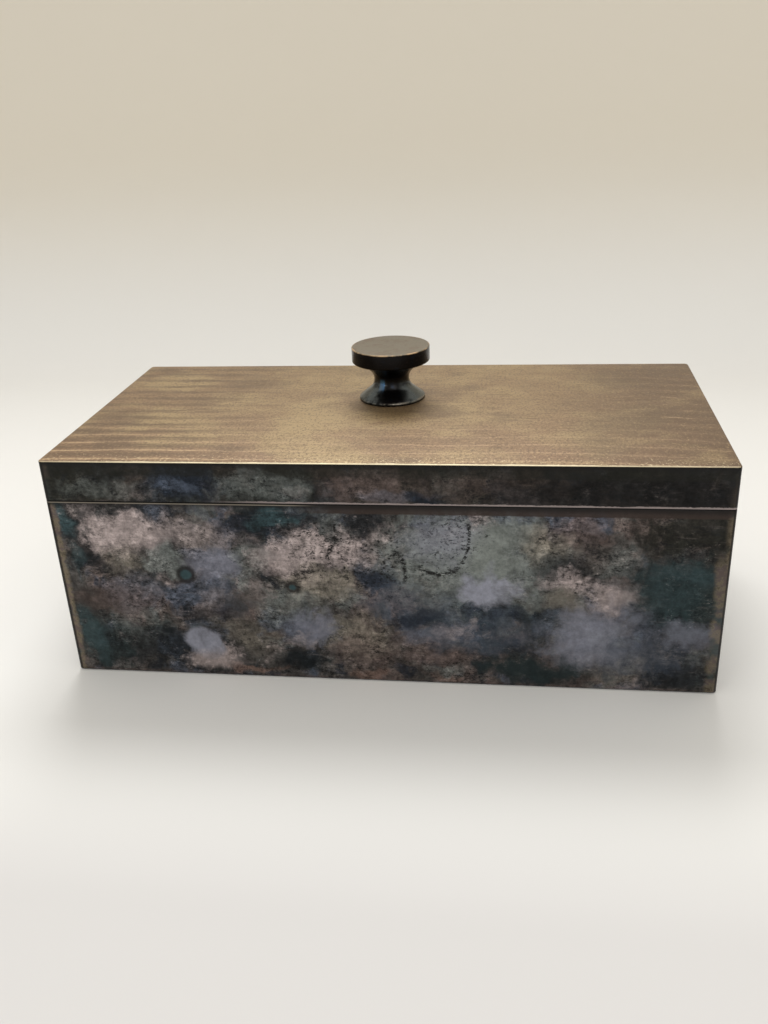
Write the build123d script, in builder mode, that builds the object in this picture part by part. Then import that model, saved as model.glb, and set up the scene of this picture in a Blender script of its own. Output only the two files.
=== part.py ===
"""Desk humidor: a patinated brass box with a lift-off lid, lined throughout in cedar.

The case is a strip folded into four walls round a soldered base plate, on a baize sheet. A cedar box stands in
it, mitred at the corners, and its lip rises past the rim. The lid is a flat plate on a skirt of the same strip.
Its own cedar lining slips over that lip and seals it. A turned knob is screwed to the lid from inside, and a
humidifier hangs under the lid between two spring clips: it pulls straight down to be moistened.

The origin is the middle of the footprint on the table. X runs along the box, the front faces -Y, Z is up.
Lengths are in millimetres.
"""

import os
from math import cos, radians, sin

from build123d import *

# Case walls: one folded strip of sheet brass
case_length = 228.0
case_depth = 112.4
case_height = 68.6
sheet_thickness = 1.2
fold_radius = 0.4
rim_bevel = 0.3

# Base plate, soldered inside the walls, and the baize glued under it
base_plate_thickness = 1.0
base_plate_fit = 0.05
felt_thickness = 1.5
felt_stand = 0.4
felt_inset = 0.6
felt_corner = 2.0

# Cedar lining of the case
floor_thickness = 4.0
lining_thickness = 5.5
lining_fit = 0.2
lip_gap_above = 1.3
lip_round = 0.7

# Lid: a top plate on a skirt, with its own cedar lining
lid_height = 14.5
lid_edge_bevel = 0.35
lid_panel_thickness = 4.0
strip_thickness = 2.5
strip_lift = 0.5
strip_lead_in = 0.8
lip_running_fit = 0.3

# Turned knob, which stands a little behind the middle of the lid
knob_offset_x = -2.0
knob_offset_y = 13.0
knob_base_radius = 12.5
knob_base_edge = 1.0
knob_foot_slope = 3.4
knob_waist_radius = 6.7
knob_hollow_radius = 4.8
knob_hollow_angle = 45
knob_flare = 3.2
knob_disc_radius = 14.7
knob_disc_thickness = 5.8
knob_disc_lower_bevel = 1.0
knob_disc_edge_bevel = 0.35

# Machine screw and washer that hold the knob
screw_radius = 1.95
screw_hole_fit = 0.05
screw_clearance = 0.25
screw_reach_in_knob = 8.0
screw_tip_room = 1.0
screw_tip_bevel = 0.5
screw_head_radius = 3.7
screw_head_height = 2.2
screw_head_bevel = 0.7
screw_slot_width = 1.0
screw_slot_depth = 1.0
washer_radius = 5.5
washer_thickness = 0.8
washer_pocket_room = 1.5

# Humidifier: a drawn brass tray, mouth down, with an absorbent block and a slotted cover
tray_length = 100.0
tray_width = 44.0
tray_depth = 12.0
tray_wall = 0.6
tray_corner = 4.0
tray_back_bevel = 0.8
cover_sheet = 0.5
cover_fit = 0.1
cover_flange = 2.0
vent_width = 4.0
vent_pitch = 14.5
vent_margin = 6.0
vent_bridge = 5.0
pad_fit = 0.4
pad_bevel = 0.8

# Spring clips that grip the two ends of the tray, and the wood screw of each
clip_sheet = 0.6
clip_width = 14.0
clip_foot = 9.0
clip_leg = 6.5
clip_flare = 1.4
clip_grip_gap = 0.15
clip_bend_radius = 0.3
clip_screw_radius = 1.1
clip_screw_end_wood = 0.8
clip_screw_point = 1.2
clip_screw_head_radius = 2.2
clip_screw_head_height = 1.3
clip_screw_head_bevel = 0.6
clip_screw_slot_width = 0.6
clip_screw_slot_depth = 0.6
clip_screw_fit = 0.05

# Levels and reaches that follow from the sizes above
inner_length = case_length - 2 * sheet_thickness
inner_depth = case_depth - 2 * sheet_thickness
corner_radius = fold_radius + sheet_thickness
lining_length = inner_length - 2 * lining_fit
lining_depth = inner_depth - 2 * lining_fit
base_plate_top = felt_thickness + base_plate_thickness
floor_top = base_plate_top + floor_thickness
lid_top = case_height + lid_height
plate_underside = lid_top - sheet_thickness
panel_underside = plate_underside - lid_panel_thickness
lip_top = panel_underside - lip_gap_above
lip_setback = strip_thickness + lip_running_fit
knob_axis = Axis((knob_offset_x, knob_offset_y, 0), (0, 0, 1))
hollow_edge_radius = knob_waist_radius + knob_hollow_radius * (1 - cos(radians(knob_hollow_angle)))
hollow_bottom = knob_base_edge + knob_foot_slope
waist_level = hollow_bottom + knob_hollow_radius * sin(radians(knob_hollow_angle))
hollow_top = 2 * waist_level - hollow_bottom
disc_underside = hollow_top + knob_flare
knob_height = disc_underside + knob_disc_thickness
tray_mouth = panel_underside - tray_depth
vent_columns = 1 + int((tray_length - 2 * vent_margin - vent_width) / vent_pitch)
vent_length = (tray_width - 2 * vent_margin - vent_bridge) / 2
clip_foot_middle = tray_length / 2 + clip_grip_gap + (clip_foot + clip_sheet) / 2
inward_directions = {
    "front": Vector(0, 1, 0),
    "back": Vector(0, -1, 0),
    "left": Vector(1, 0, 0),
    "right": Vector(-1, 0, 0),
}

os.makedirs("parts", exist_ok=True)


def knob_section_plane(level):
    """Upright plane through the knob's axis, with its origin on that axis at a level."""
    return Plane(origin=(knob_offset_x, knob_offset_y, level), x_dir=(1, 0, 0), z_dir=(0, -1, 0))


def lining_section():
    """Upright section of a case board: thick to the rim, then set back as the lip. X runs inward."""
    with BuildSketch() as section:
        with BuildLine():
            Polyline(
                (0, floor_top),
                (lining_thickness, floor_top),
                (lining_thickness, lip_top),
                (lip_setback, lip_top),
                (lip_setback, case_height),
                (0, case_height),
                close=True,
            )
        make_face()
        fillet(section.vertices().group_by(Axis.Y)[-1], lip_round)
    return section.sketch


def strip_section():
    """Upright section of a lid strip, bevelled inside at its foot to find the lip. X runs inward."""
    foot = case_height + strip_lift
    with BuildSketch() as section:
        with BuildLine():
            Polyline(
                (0, foot),
                (strip_thickness - strip_lead_in, foot),
                (strip_thickness, foot + strip_lead_in),
                (strip_thickness, panel_underside),
                (0, panel_underside),
                close=True,
            )
        make_face()
    return section.sketch


def mitred_board(side, thickness, section):
    """Run a section along one side of the lining and mitre both its ends."""
    inward = inward_directions[side]
    along = inward.cross(Vector(0, 0, 1))
    run, reach = (
        (lining_length, lining_depth / 2) if side in ("front", "back") else (lining_depth, lining_length / 2)
    )
    corner = inward * -reach
    with BuildPart() as board:
        with BuildSketch(Plane(origin=corner, x_dir=inward, z_dir=along)):
            add(section)
        extrude(amount=run / 2, both=True)
        with BuildSketch(Plane(origin=corner, x_dir=along, z_dir=(0, 0, 1))):
            with BuildLine():
                Polyline(
                    (-run / 2, 0),
                    (run / 2, 0),
                    (run / 2 - thickness, thickness),
                    (thickness - run / 2, thickness),
                    close=True,
                )
            make_face()
        extrude(amount=lid_top, mode=Mode.INTERSECT)
    return board.part


def spring_clip(end):
    """Bend one clip: a foot under the lid panel, a leg down the tray's end and a flared tip. end is -1 or 1."""
    bend = clip_grip_gap + clip_sheet
    outline_plane = Plane(
        origin=(end * tray_length / 2, 0, panel_underside), x_dir=(end, 0, 0), z_dir=(0, -end, 0)
    )
    with BuildPart() as clip:
        with BuildSketch(outline_plane):
            with BuildLine():
                Polyline(
                    (clip_grip_gap, 0),
                    (bend + clip_foot, 0),
                    (bend + clip_foot, -clip_sheet),
                    (bend, -clip_sheet),
                    (bend, -clip_leg),
                    (bend + clip_flare, -clip_leg - clip_flare),
                    (clip_grip_gap + clip_flare, -clip_leg - clip_flare),
                    (clip_grip_gap, -clip_leg),
                    close=True,
                )
            outline = make_face()
            inner_bend = outline.vertices().sort_by_distance((bend, -clip_sheet))[0]
            fillet(inner_bend, clip_bend_radius)
            outer_bend = outline.vertices().sort_by_distance((clip_grip_gap, 0))[0]
            fillet(outer_bend, clip_bend_radius + clip_sheet)
        extrude(amount=clip_width / 2, both=True)
        with Locations((end * clip_foot_middle, 0, panel_underside)):
            Hole(clip_screw_radius + clip_screw_fit, depth=clip_sheet)
    return clip.part


# Case walls: a folded band, open above and below
with BuildPart() as case_wall_band:
    with BuildSketch(Plane.XY.offset(felt_stand)):
        RectangleRounded(case_length, case_depth, corner_radius)
        RectangleRounded(inner_length, inner_depth, fold_radius, mode=Mode.SUBTRACT)
    extrude(amount=case_height - felt_stand)
    chamfer(faces().sort_by(Axis.Z)[-1].outer_wire().edges(), rim_bevel)
    chamfer(faces().sort_by(Axis.Z)[0].outer_wire().edges(), rim_bevel)
case_wall_band.part.label = "case_wall_band"
export_step(case_wall_band.part, "parts/case_wall_band.step")

# Base plate, let into the walls just above the baize
with BuildPart() as base_plate:
    with BuildSketch(Plane.XY.offset(felt_thickness)):
        RectangleRounded(inner_length - 2 * base_plate_fit, inner_depth - 2 * base_plate_fit, fold_radius)
    extrude(amount=base_plate_thickness)
base_plate.part.label = "base_plate"
export_step(base_plate.part, "parts/base_plate.step")

# Baize sheet that the box stands on
with BuildPart() as base_felt:
    with BuildSketch():
        RectangleRounded(inner_length - 2 * felt_inset, inner_depth - 2 * felt_inset, felt_corner)
    extrude(amount=felt_thickness)
base_felt.part.label = "base_felt"
export_step(base_felt.part, "parts/base_felt.step")

# Cedar floor, lying on the base plate under the four upright boards
with BuildPart() as lining_floor:
    with BuildSketch(Plane.XY.offset(base_plate_top)):
        Rectangle(lining_length, lining_depth)
    extrude(amount=floor_thickness)
lining_floor.part.label = "lining_floor"
export_step(lining_floor.part, "parts/lining_floor.step")

# Upright boards of the case, and the strips that line the lid's skirt
for side in inward_directions:
    lining_board = mitred_board(side, lining_thickness, lining_section())
    lining_board.label = f"lining_{side}"
    export_step(lining_board, f"parts/lining_{side}.step")
    lid_strip = mitred_board(side, strip_thickness, strip_section())
    lid_strip.label = f"lid_strip_{side}"
    export_step(lid_strip, f"parts/lid_strip_{side}.step")

# Lid skirt: the same strip as the walls, standing on their rim
with BuildPart() as lid_skirt_band:
    with BuildSketch(Plane.XY.offset(case_height)):
        RectangleRounded(case_length, case_depth, corner_radius)
        RectangleRounded(inner_length, inner_depth, fold_radius, mode=Mode.SUBTRACT)
    extrude(amount=lid_height - sheet_thickness)
    chamfer(faces().sort_by(Axis.Z)[0].outer_wire().edges(), rim_bevel)
lid_skirt_band.part.label = "lid_skirt_band"
export_step(lid_skirt_band.part, "parts/lid_skirt_band.step")

# Lid top plate, filed flush with the skirt and pierced for the knob's screw
with BuildPart() as lid_top_plate:
    with BuildSketch(Plane.XY.offset(plate_underside)):
        RectangleRounded(case_length, case_depth, corner_radius)
        with Locations((knob_offset_x, knob_offset_y)):
            Circle(screw_radius + screw_clearance, mode=Mode.SUBTRACT)
    extrude(amount=sheet_thickness)
    chamfer(faces().sort_by(Axis.Z)[-1].outer_wire().edges(), lid_edge_bevel)
lid_top_plate.part.label = "lid_top_plate"
export_step(lid_top_plate.part, "parts/lid_top_plate.step")

# Cedar panel under the plate, with the pocket for the screw head and pilot holes for the clips
with BuildPart() as lid_lining_panel:
    with BuildSketch(Plane.XY.offset(panel_underside)):
        Rectangle(lining_length, lining_depth)
        with Locations((knob_offset_x, knob_offset_y)):
            Circle(washer_radius + washer_pocket_room, mode=Mode.SUBTRACT)
    extrude(amount=lid_panel_thickness)
    with BuildSketch(Plane.XY.offset(panel_underside)):
        with GridLocations(2 * clip_foot_middle, 0, 2, 1):
            Circle(clip_screw_radius + clip_screw_fit)
    extrude(amount=lid_panel_thickness - clip_screw_end_wood, mode=Mode.SUBTRACT)
lid_lining_panel.part.label = "lid_lining_panel"
export_step(lid_lining_panel.part, "parts/lid_lining_panel.step")

# Knob: a sloping foot, a hollow turned into the neck, and a flat disc
with BuildPart() as knob:
    with BuildSketch(knob_section_plane(lid_top)):
        with BuildLine():
            Polyline(
                (0, knob_height),
                (0, 0),
                (knob_base_radius, 0),
                (knob_base_radius, knob_base_edge),
                (hollow_edge_radius, hollow_bottom),
            )
            ThreePointArc(
                (hollow_edge_radius, hollow_bottom),
                (knob_waist_radius, waist_level),
                (hollow_edge_radius, hollow_top),
            )
            Polyline(
                (hollow_edge_radius, hollow_top),
                (hollow_edge_radius + knob_flare, disc_underside),
                (knob_disc_radius - knob_disc_lower_bevel, disc_underside),
                (knob_disc_radius, disc_underside + knob_disc_lower_bevel),
                (knob_disc_radius, knob_height - knob_disc_edge_bevel),
                (knob_disc_radius - knob_disc_edge_bevel, knob_height),
                (0, knob_height),
            )
        make_face()
    revolve(axis=knob_axis)
    with BuildSketch(Plane(origin=(knob_offset_x, knob_offset_y, lid_top))):
        Circle(screw_radius + screw_hole_fit)
    extrude(amount=screw_reach_in_knob + screw_tip_room, mode=Mode.SUBTRACT)
knob.part.label = "knob"
export_step(knob.part, "parts/knob.step")

# Washer under the lid plate
washer_underside = plate_underside - washer_thickness
with BuildPart() as knob_washer:
    with BuildSketch(Plane(origin=(knob_offset_x, knob_offset_y, washer_underside))):
        Circle(washer_radius)
        Circle(screw_radius + screw_clearance, mode=Mode.SUBTRACT)
    extrude(amount=washer_thickness)
knob_washer.part.label = "knob_washer"
export_step(knob_washer.part, "parts/knob_washer.step")

# Slotted machine screw, up through washer and plate into the knob
screw_tip = lid_top + screw_reach_in_knob - washer_underside
with BuildPart() as knob_screw:
    with BuildSketch(knob_section_plane(washer_underside)):
        with BuildLine():
            Polyline(
                (0, -screw_head_height),
                (screw_head_radius - screw_head_bevel, -screw_head_height),
                (screw_head_radius, screw_head_bevel - screw_head_height),
                (screw_head_radius, 0),
                (screw_radius, 0),
                (screw_radius, screw_tip - screw_tip_bevel),
                (screw_radius - screw_tip_bevel, screw_tip),
                (0, screw_tip),
                close=True,
            )
        make_face()
    revolve(axis=knob_axis)
    with BuildSketch(Plane(origin=(knob_offset_x, knob_offset_y, washer_underside - screw_head_height))):
        Rectangle(2 * screw_head_radius, screw_slot_width)
    extrude(amount=screw_slot_depth, mode=Mode.SUBTRACT)
knob_screw.part.label = "knob_screw"
export_step(knob_screw.part, "parts/knob_screw.step")

# Humidifier tray: drawn from sheet, open below
with BuildPart() as humidifier_tray:
    with BuildSketch(Plane.XY.offset(tray_mouth)):
        RectangleRounded(tray_length, tray_width, tray_corner)
    extrude(amount=tray_depth)
    chamfer(faces().sort_by(Axis.Z)[-1].edges(), tray_back_bevel)
    offset(amount=-tray_wall, openings=faces().sort_by(Axis.Z)[0])
humidifier_tray.part.label = "humidifier_tray"
export_step(humidifier_tray.part, "parts/humidifier_tray.step")

# Slotted cover, pushed into the tray's mouth by its turned-up flange
cover_inset = tray_wall + cover_fit
with BuildPart() as humidifier_cover:
    with BuildSketch(Plane.XY.offset(tray_mouth)):
        RectangleRounded(
            tray_length - 2 * cover_inset, tray_width - 2 * cover_inset, tray_corner - cover_inset
        )
    extrude(amount=cover_flange)
    offset(amount=-cover_sheet, openings=faces().sort_by(Axis.Z)[-1])
    with BuildSketch(Plane.XY.offset(tray_mouth)):
        with GridLocations(vent_pitch, vent_length + vent_bridge, vent_columns, 2):
            SlotOverall(vent_length, vent_width, rotation=90)
    extrude(amount=cover_sheet, mode=Mode.SUBTRACT)
humidifier_cover.part.label = "humidifier_cover"
export_step(humidifier_cover.part, "parts/humidifier_cover.step")

# Absorbent block between the cover's flange and the back of the tray
pad_inset = tray_wall + pad_fit
with BuildPart() as humidifier_pad:
    with BuildSketch(Plane.XY.offset(tray_mouth + cover_flange)):
        RectangleRounded(tray_length - 2 * pad_inset, tray_width - 2 * pad_inset, tray_corner - pad_inset)
    extrude(amount=tray_depth - tray_wall - cover_flange)
    chamfer(faces().sort_by(Axis.Z)[-1].edges(), pad_bevel)
humidifier_pad.part.label = "humidifier_pad"
export_step(humidifier_pad.part, "parts/humidifier_pad.step")

# Spring clips, one at each end of the tray
clip_left = spring_clip(-1)
clip_left.label = "clip_left"
export_step(clip_left, "parts/clip_left.step")
clip_right = spring_clip(1)
clip_right.label = "clip_right"
export_step(clip_right, "parts/clip_right.step")

# Two slotted wood screws, up through the feet of the clips
foot_underside = panel_underside - clip_sheet
head_underside = foot_underside - clip_screw_head_height
point_foot = plate_underside - clip_screw_end_wood - clip_screw_point
with BuildPart() as clip_screws:
    with BuildSketch(Plane.XY.offset(foot_underside)):
        with GridLocations(2 * clip_foot_middle, 0, 2, 1):
            Circle(clip_screw_head_radius)
    extrude(amount=-clip_screw_head_height)
    chamfer(edges().group_by(Axis.Z)[0], clip_screw_head_bevel)
    with BuildSketch(Plane.XY.offset(head_underside)):
        with GridLocations(2 * clip_foot_middle, 0, 2, 1):
            Rectangle(2 * clip_screw_head_radius, clip_screw_slot_width)
    extrude(amount=clip_screw_slot_depth, mode=Mode.SUBTRACT)
    with BuildSketch(Plane.XY.offset(foot_underside)):
        with GridLocations(2 * clip_foot_middle, 0, 2, 1):
            Circle(clip_screw_radius)
    extrude(amount=point_foot - foot_underside)
    with Locations((0, 0, point_foot)):
        with GridLocations(2 * clip_foot_middle, 0, 2, 1):
            Cone(clip_screw_radius, 0, clip_screw_point, align=(Align.CENTER, Align.CENTER, Align.MIN))
clip_screws.part.label = "clip_screws"
export_step(clip_screws.part, "parts/clip_screws.step")
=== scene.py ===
"""Dress a brass desk humidor: patinated case, lift-off lid with a turned knob, cedar lining and humidifier.

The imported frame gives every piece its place. Each sub-assembly is a class that builds the meshes it needs and
dresses them with its finishes. Lengths in the classes are metres, and patterns are sized in millimetres.
"""

import logging
import math
from dataclasses import dataclass, field
from enum import Enum
from itertools import cycle
from typing import Any, Iterable

import bmesh
import bpy
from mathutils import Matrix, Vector


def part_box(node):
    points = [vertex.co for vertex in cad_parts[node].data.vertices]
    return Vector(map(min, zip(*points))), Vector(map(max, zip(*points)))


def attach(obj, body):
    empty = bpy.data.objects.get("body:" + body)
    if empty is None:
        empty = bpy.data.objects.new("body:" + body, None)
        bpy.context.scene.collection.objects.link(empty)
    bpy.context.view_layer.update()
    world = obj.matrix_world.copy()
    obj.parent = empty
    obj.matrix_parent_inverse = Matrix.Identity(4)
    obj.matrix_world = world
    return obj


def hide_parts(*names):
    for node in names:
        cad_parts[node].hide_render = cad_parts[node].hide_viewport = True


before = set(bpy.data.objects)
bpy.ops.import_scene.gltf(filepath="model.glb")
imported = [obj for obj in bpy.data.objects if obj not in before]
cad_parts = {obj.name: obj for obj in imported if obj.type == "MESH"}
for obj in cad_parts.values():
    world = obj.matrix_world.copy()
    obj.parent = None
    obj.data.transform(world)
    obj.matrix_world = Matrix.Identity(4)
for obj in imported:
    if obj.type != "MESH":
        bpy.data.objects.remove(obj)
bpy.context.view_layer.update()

log = logging.getLogger("humidor")

MM = 0.001
# How near to a height a corner counts as lying on it
NEAR = 0.01 * MM
# How far up a face looks, from 0 to 1, that counts as neither level nor upright
HALF_UP = 0.5
# The angle past which two faces meet in a sharp edge
SHARP_ANGLE = math.radians(40)
# How far behind and before the front a stain reaches, in millimetres
STAIN_DEPTH_MM = 12.0
# A run along the box that is full everywhere, in millimetres
ALL_ALONG = (-200.0, -199.0)

Coat = tuple[Any, ...]


class Hue(Enum):
    """Colours seen on the object and its setting, as sRGB hex."""

    SOOT = "#191818"
    BLUE_BLACK = "#161b20"
    BARK = "#4d4a48"
    UMBER = "#382f2b"
    NAVY = "#1a2330"
    SLATE = "#4b5361"
    DEEP_TEAL = "#242f31"
    TEAL = "#35494d"
    GREY_GREEN = "#6b706e"
    PALE_GREEN = "#858b86"
    LAVENDER = "#797b88"
    LAVENDER_PALE = "#9193a0"
    # A painted glint: a window's blue reflection on the knob's neck.
    NECK_GLINT_BLUE = "#3d6a94"
    COPPER_PINK = "#a19593"
    ROSE_BROWN = "#695b57"
    BEIGE = "#827b70"
    COPPER = "#8c7064"
    WORN_GOLD = "#847a66"
    BRIGHT_BRASS = "#e2d4b2"
    OLIVE_BLACK = "#22221d"
    KNOB_TAN = "#686051"
    LID_TAN = "#846c4d"
    LID_PALE = "#99835d"
    LID_BROWN = "#7c6046"
    LID_UMBER = "#5a4631"
    LID_GLINT = "#b99c78"
    BRASS = "#c8a261"
    TARNISH = "#8a6a3c"
    ZINC = "#b9bab6"
    CEDAR = "#a8704a"
    CEDAR_DARK = "#7c4c30"
    CEDAR_PALE = "#bd8a60"
    BAIZE = "#26452f"
    BAIZE_PALE = "#3c6044"
    FELT = "#d6cdb6"
    FELT_SHADE = "#aca287"
    PAPER_WHITE = "#e8e5df"
    FLOOR_WHITE = "#e8e7e4"
    FLOOR_NEAR = "#d1cfcd"
    CREAM_WALL = "#ddd6c8"


class Grain(Enum):
    """Which way a board's grain runs, as a turn about the upright axis."""

    LENGTHWISE = 0.0
    CROSSWISE = math.pi / 2


class Part(Enum):
    """What of a mesh is rounded, as Blender names it."""

    EDGES = "EDGES"
    CORNERS = "VERTICES"


def linear(hue: Hue) -> tuple[float, float, float, float]:
    """Turn a hue's sRGB hex into the linear colour that Blender's sockets hold.

    Args:
        hue: The colour, as its Enum member.

    Returns:
        Red, green, blue and an alpha of one.
    """
    parts = [int(hue.value[i : i + 2], 16) / 255 for i in (1, 3, 5)]
    red, green, blue = (p / 12.92 if p <= 0.04045 else ((p + 0.055) / 1.055) ** 2.4 for p in parts)
    return red, green, blue, 1.0


class Nodes:
    """The nodes of one material or world, and the ways in which finishes put them together.

    A coat is a tuple of a hue or a colour's socket, and the masks that it shows through.

    Attributes:
        tree: The node tree that holds them.
    """

    def __init__(self, tree: bpy.types.NodeTree) -> None:
        """Start on a cleared tree."""
        self.tree = tree
        tree.nodes.clear()

    def add(self, kind: str, *inputs: Any, **named: Any) -> Any:
        """Add a node with its settings, and fill or link its inputs.

        Args:
            kind: The node's type name, without its leading "ShaderNode".
            inputs: What its inputs take, in their order: a value, a hue, a socket, or None to keep one.
            named: The same for inputs by name, which starts with a capital, and the node's own settings.

        Returns:
            The node's outputs.
        """
        node = self.tree.nodes.new("ShaderNode" + kind)
        filled: dict[Any, Any] = dict(enumerate(inputs))
        for name, value in named.items():
            if name[0].isupper():
                filled[name] = value
            else:
                setattr(node, name, value)
        for key, value in filled.items():
            if isinstance(value, bpy.types.NodeSocket):
                self.tree.links.new(value, node.inputs[key])
            elif value is not None:
                node.inputs[key].default_value = linear(value) if isinstance(value, Hue) else value
        return node.outputs

    def place(self) -> Any:
        """Give places on the object, in millimetres along its own axes, as a socket."""
        own = self.add("TexCoord")["Object"]
        return self.add("VectorMath", own, Scale=1 / MM, operation="SCALE")[0]

    def mask(self, *parts: Any) -> Any:
        """Multiply masks, so that only what is in all of them stays.

        Args:
            parts: One or more masks. A tuple stands for one that rises smoothly with a value, and holds the
                value, where the mask is nothing, where it is full, and its strength if that isn't one.

        Returns:
            The product, a socket or a number.
        """
        result: Any = None
        for part in parts:
            if isinstance(part, tuple):
                value, start, end, strength = (*part, 1.0)[:4]
                rise = (value, start, end, 0.0, strength)
                part = self.add("MapRange", *rise, interpolation_type="SMOOTHSTEP")[0]
            result = part if result is None else self.add("Math", result, part, operation="MULTIPLY")[0]
        return result

    def paint(self, under: Any, *coats: Coat) -> Any:
        """Lay coats over a ground, one after another.

        Args:
            under: The ground, a hue or a colour's socket.
            coats: The coats, the lowest first.

        Returns:
            The finished colour's socket.
        """
        for colour, *masks in coats:
            share = self.mask(*masks)
            under = self.add("Mix", share, *[None] * 5, under, colour, data_type="RGBA")[2]
        return under

    def pushed(self, place: Any, size_mm: float, push_mm: float) -> Any:
        """Push places about by noise, so that shapes drawn on them get ragged edges.

        Args:
            place: The socket of places in millimetres.
            size_mm: The width of the waves.
            push_mm: How far a place is pushed.

        Returns:
            The socket of the pushed places.
        """
        noise = self.add("TexNoise", place, Scale=1 / size_mm, Detail=3.0, Roughness=0.6)
        centred = self.add("VectorMath", noise["Color"], (0.5, 0.5, 0.5), operation="SUBTRACT")[0]
        return self.add("VectorMath", centred, (2 * push_mm,) * 3, place, operation="MULTIPLY_ADD")[0]


@dataclass(frozen=True)
class Finish:
    """A finish, drawn by nodes on the object's own coordinates.

    Attributes:
        name: The material's name.
    """

    name: str

    def material(self) -> bpy.types.Material:
        """Build the finish's material.

        Returns:
            The material.
        """
        material = bpy.data.materials.new(self.name)
        material.use_nodes = True
        nodes = Nodes(material.node_tree)
        shader = nodes.add("BsdfPrincipled", **self.surface(nodes))
        nodes.add("OutputMaterial", Surface=shader[0])
        return material

    def surface(self, nodes: Nodes) -> dict[str, Any]:
        """Draw the surface.

        Args:
            nodes: The material's nodes.

        Returns:
            What the shader's inputs take, by their names.
        """
        raise NotImplementedError


@dataclass(frozen=True)
class Cloud:
    """Colour that gathers in soft-edged clouds all over a surface.

    Attributes:
        hue: The cloud's colour.
        size_mm: How far apart clouds lie.
        cover: The noise level at which a cloud starts. A higher one gives fewer clouds.
        soft: How far above that level it is full.
        strength: How much of the ground it hides.
        shift: Moves the pattern, so that clouds of one size don't fall together.
        stretch: How many times longer than wide the clouds are along the object.
    """

    hue: Hue
    size_mm: float
    cover: float
    soft: float
    strength: float
    shift: float = 0.0
    stretch: float = 1.0

    def coat(self, nodes: Nodes, place: Any) -> Coat:
        """Draw the clouds' coat.

        Args:
            nodes: The material's nodes.
            place: Places in millimetres.

        Returns:
            The coat.
        """
        moved = nodes.add("Mapping", place, (self.shift,) * 3, Scale=(1 / self.stretch, 1.0, 1.0))[0]
        noise = nodes.add("TexNoise", moved, Scale=1 / self.size_mm, Detail=5.0, Roughness=0.6)[0]
        return self.hue, (noise, self.cover, self.cover + self.soft, self.strength)


@dataclass(frozen=True)
class Stain:
    """One stain at its own place on the front, an oval whose edge frays into the metal.

    Attributes:
        hue: The stain's colour.
        x: Its middle along the box, in millimetres.
        z: Its middle above the table, in millimetres.
        width: Half its width, in millimetres.
        height: Half its height, in millimetres.
        strength: How much of the ground it hides.
        soft: The share of its radius over which it fades.
        lean: Its turn, in degrees.
        tide: The strength of the dark line round it.
    """

    hue: Hue
    x: float
    z: float
    width: float
    height: float
    strength: float = 0.8
    soft: float = 0.45
    lean: float = 0.0
    tide: float = 0.0

    def coats(self, nodes: Nodes, place: Any, fray: Any, front_y: float) -> list[Coat]:
        """Draw the stain, and first the dark line that it dried with, if it has one.

        Args:
            nodes: The material's nodes.
            place: Pushed places in millimetres.
            fray: Noise that is added to the stain's radius, which is one at its edge.
            front_y: Where the front face stands, in millimetres.

        Returns:
            The coats, the lowest first.
        """
        middle = (self.x, front_y, self.z)
        reach = (self.width, STAIN_DEPTH_MM, self.height)
        if self.lean:
            turn = (0.0, math.radians(self.lean), 0.0)
            inside = nodes.add("Mapping", place, middle, turn, reach, vector_type="TEXTURE")[0]
        else:
            offset = nodes.add("VectorMath", place, middle, operation="SUBTRACT")[0]
            inside = nodes.add("VectorMath", offset, reach, operation="DIVIDE")[0]
        radius = nodes.add("VectorMath", inside, operation="LENGTH")["Value"]
        radius = nodes.add("Math", radius, fray, operation="ADD")[0]
        body = (self.hue, (radius, 1 + self.soft, 1 - self.soft, self.strength))
        tide = (Hue.BLUE_BLACK, (radius, 1.5 + self.soft, 1.1, self.tide))
        return [tide, body] if self.tide else [body]


@dataclass(frozen=True)
class Crack:
    """A curved line of broken patina on the front: part of a ring.

    Attributes:
        x: The ring's middle along the box, in millimetres.
        z: The ring's middle above the table, in millimetres.
        radius: The ring's radius, in millimetres.
        towards: The direction of the line's middle, in degrees up from the box's right.
        reach: How far the line runs to each side of it, in degrees.
        line_mm: Half the line's thickness, in millimetres.
    """

    x: float
    z: float
    radius: float
    towards: float
    reach: float
    line_mm: float = 0.45

    def coat(self, nodes: Nodes, place: Any, dashes: Any, flecks: Any) -> Coat:
        """Draw the coat of the line and of the flecks along it.

        Args:
            nodes: The material's nodes.
            place: Pushed places in millimetres.
            dashes: A mask that keeps the line to the front and breaks it up.
            flecks: A mask of small flecks on the front.

        Returns:
            The coat.
        """
        flat = nodes.add("VectorMath", place, (1.0, 0.0, 1.0), operation="MULTIPLY")[0]
        spoke = nodes.add("VectorMath", flat, (self.x, 0.0, self.z), operation="SUBTRACT")[0]
        length = nodes.add("VectorMath", spoke, operation="LENGTH")["Value"]
        off_ring = nodes.add("Math", length, self.radius, operation="SUBTRACT")[0]
        off_line = nodes.add("Math", off_ring, operation="ABSOLUTE")[0]
        line = nodes.mask((off_line, 2 * self.line_mm, self.line_mm * 0.5), dashes)
        beside = nodes.mask((off_line, 6 * self.line_mm, 2 * self.line_mm, 0.8), flecks)
        line = nodes.add("Math", line, beside, operation="MAXIMUM")[0]
        angle = math.radians(self.towards)
        middle = (math.cos(angle), 0.0, math.sin(angle))
        unit = nodes.add("VectorMath", spoke, operation="NORMALIZE")[0]
        facing = nodes.add("VectorMath", unit, middle, operation="DOT_PRODUCT")["Value"]
        end = math.cos(math.radians(self.reach))
        return Hue.SOOT, line, (facing, end, end + 0.12)


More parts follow.
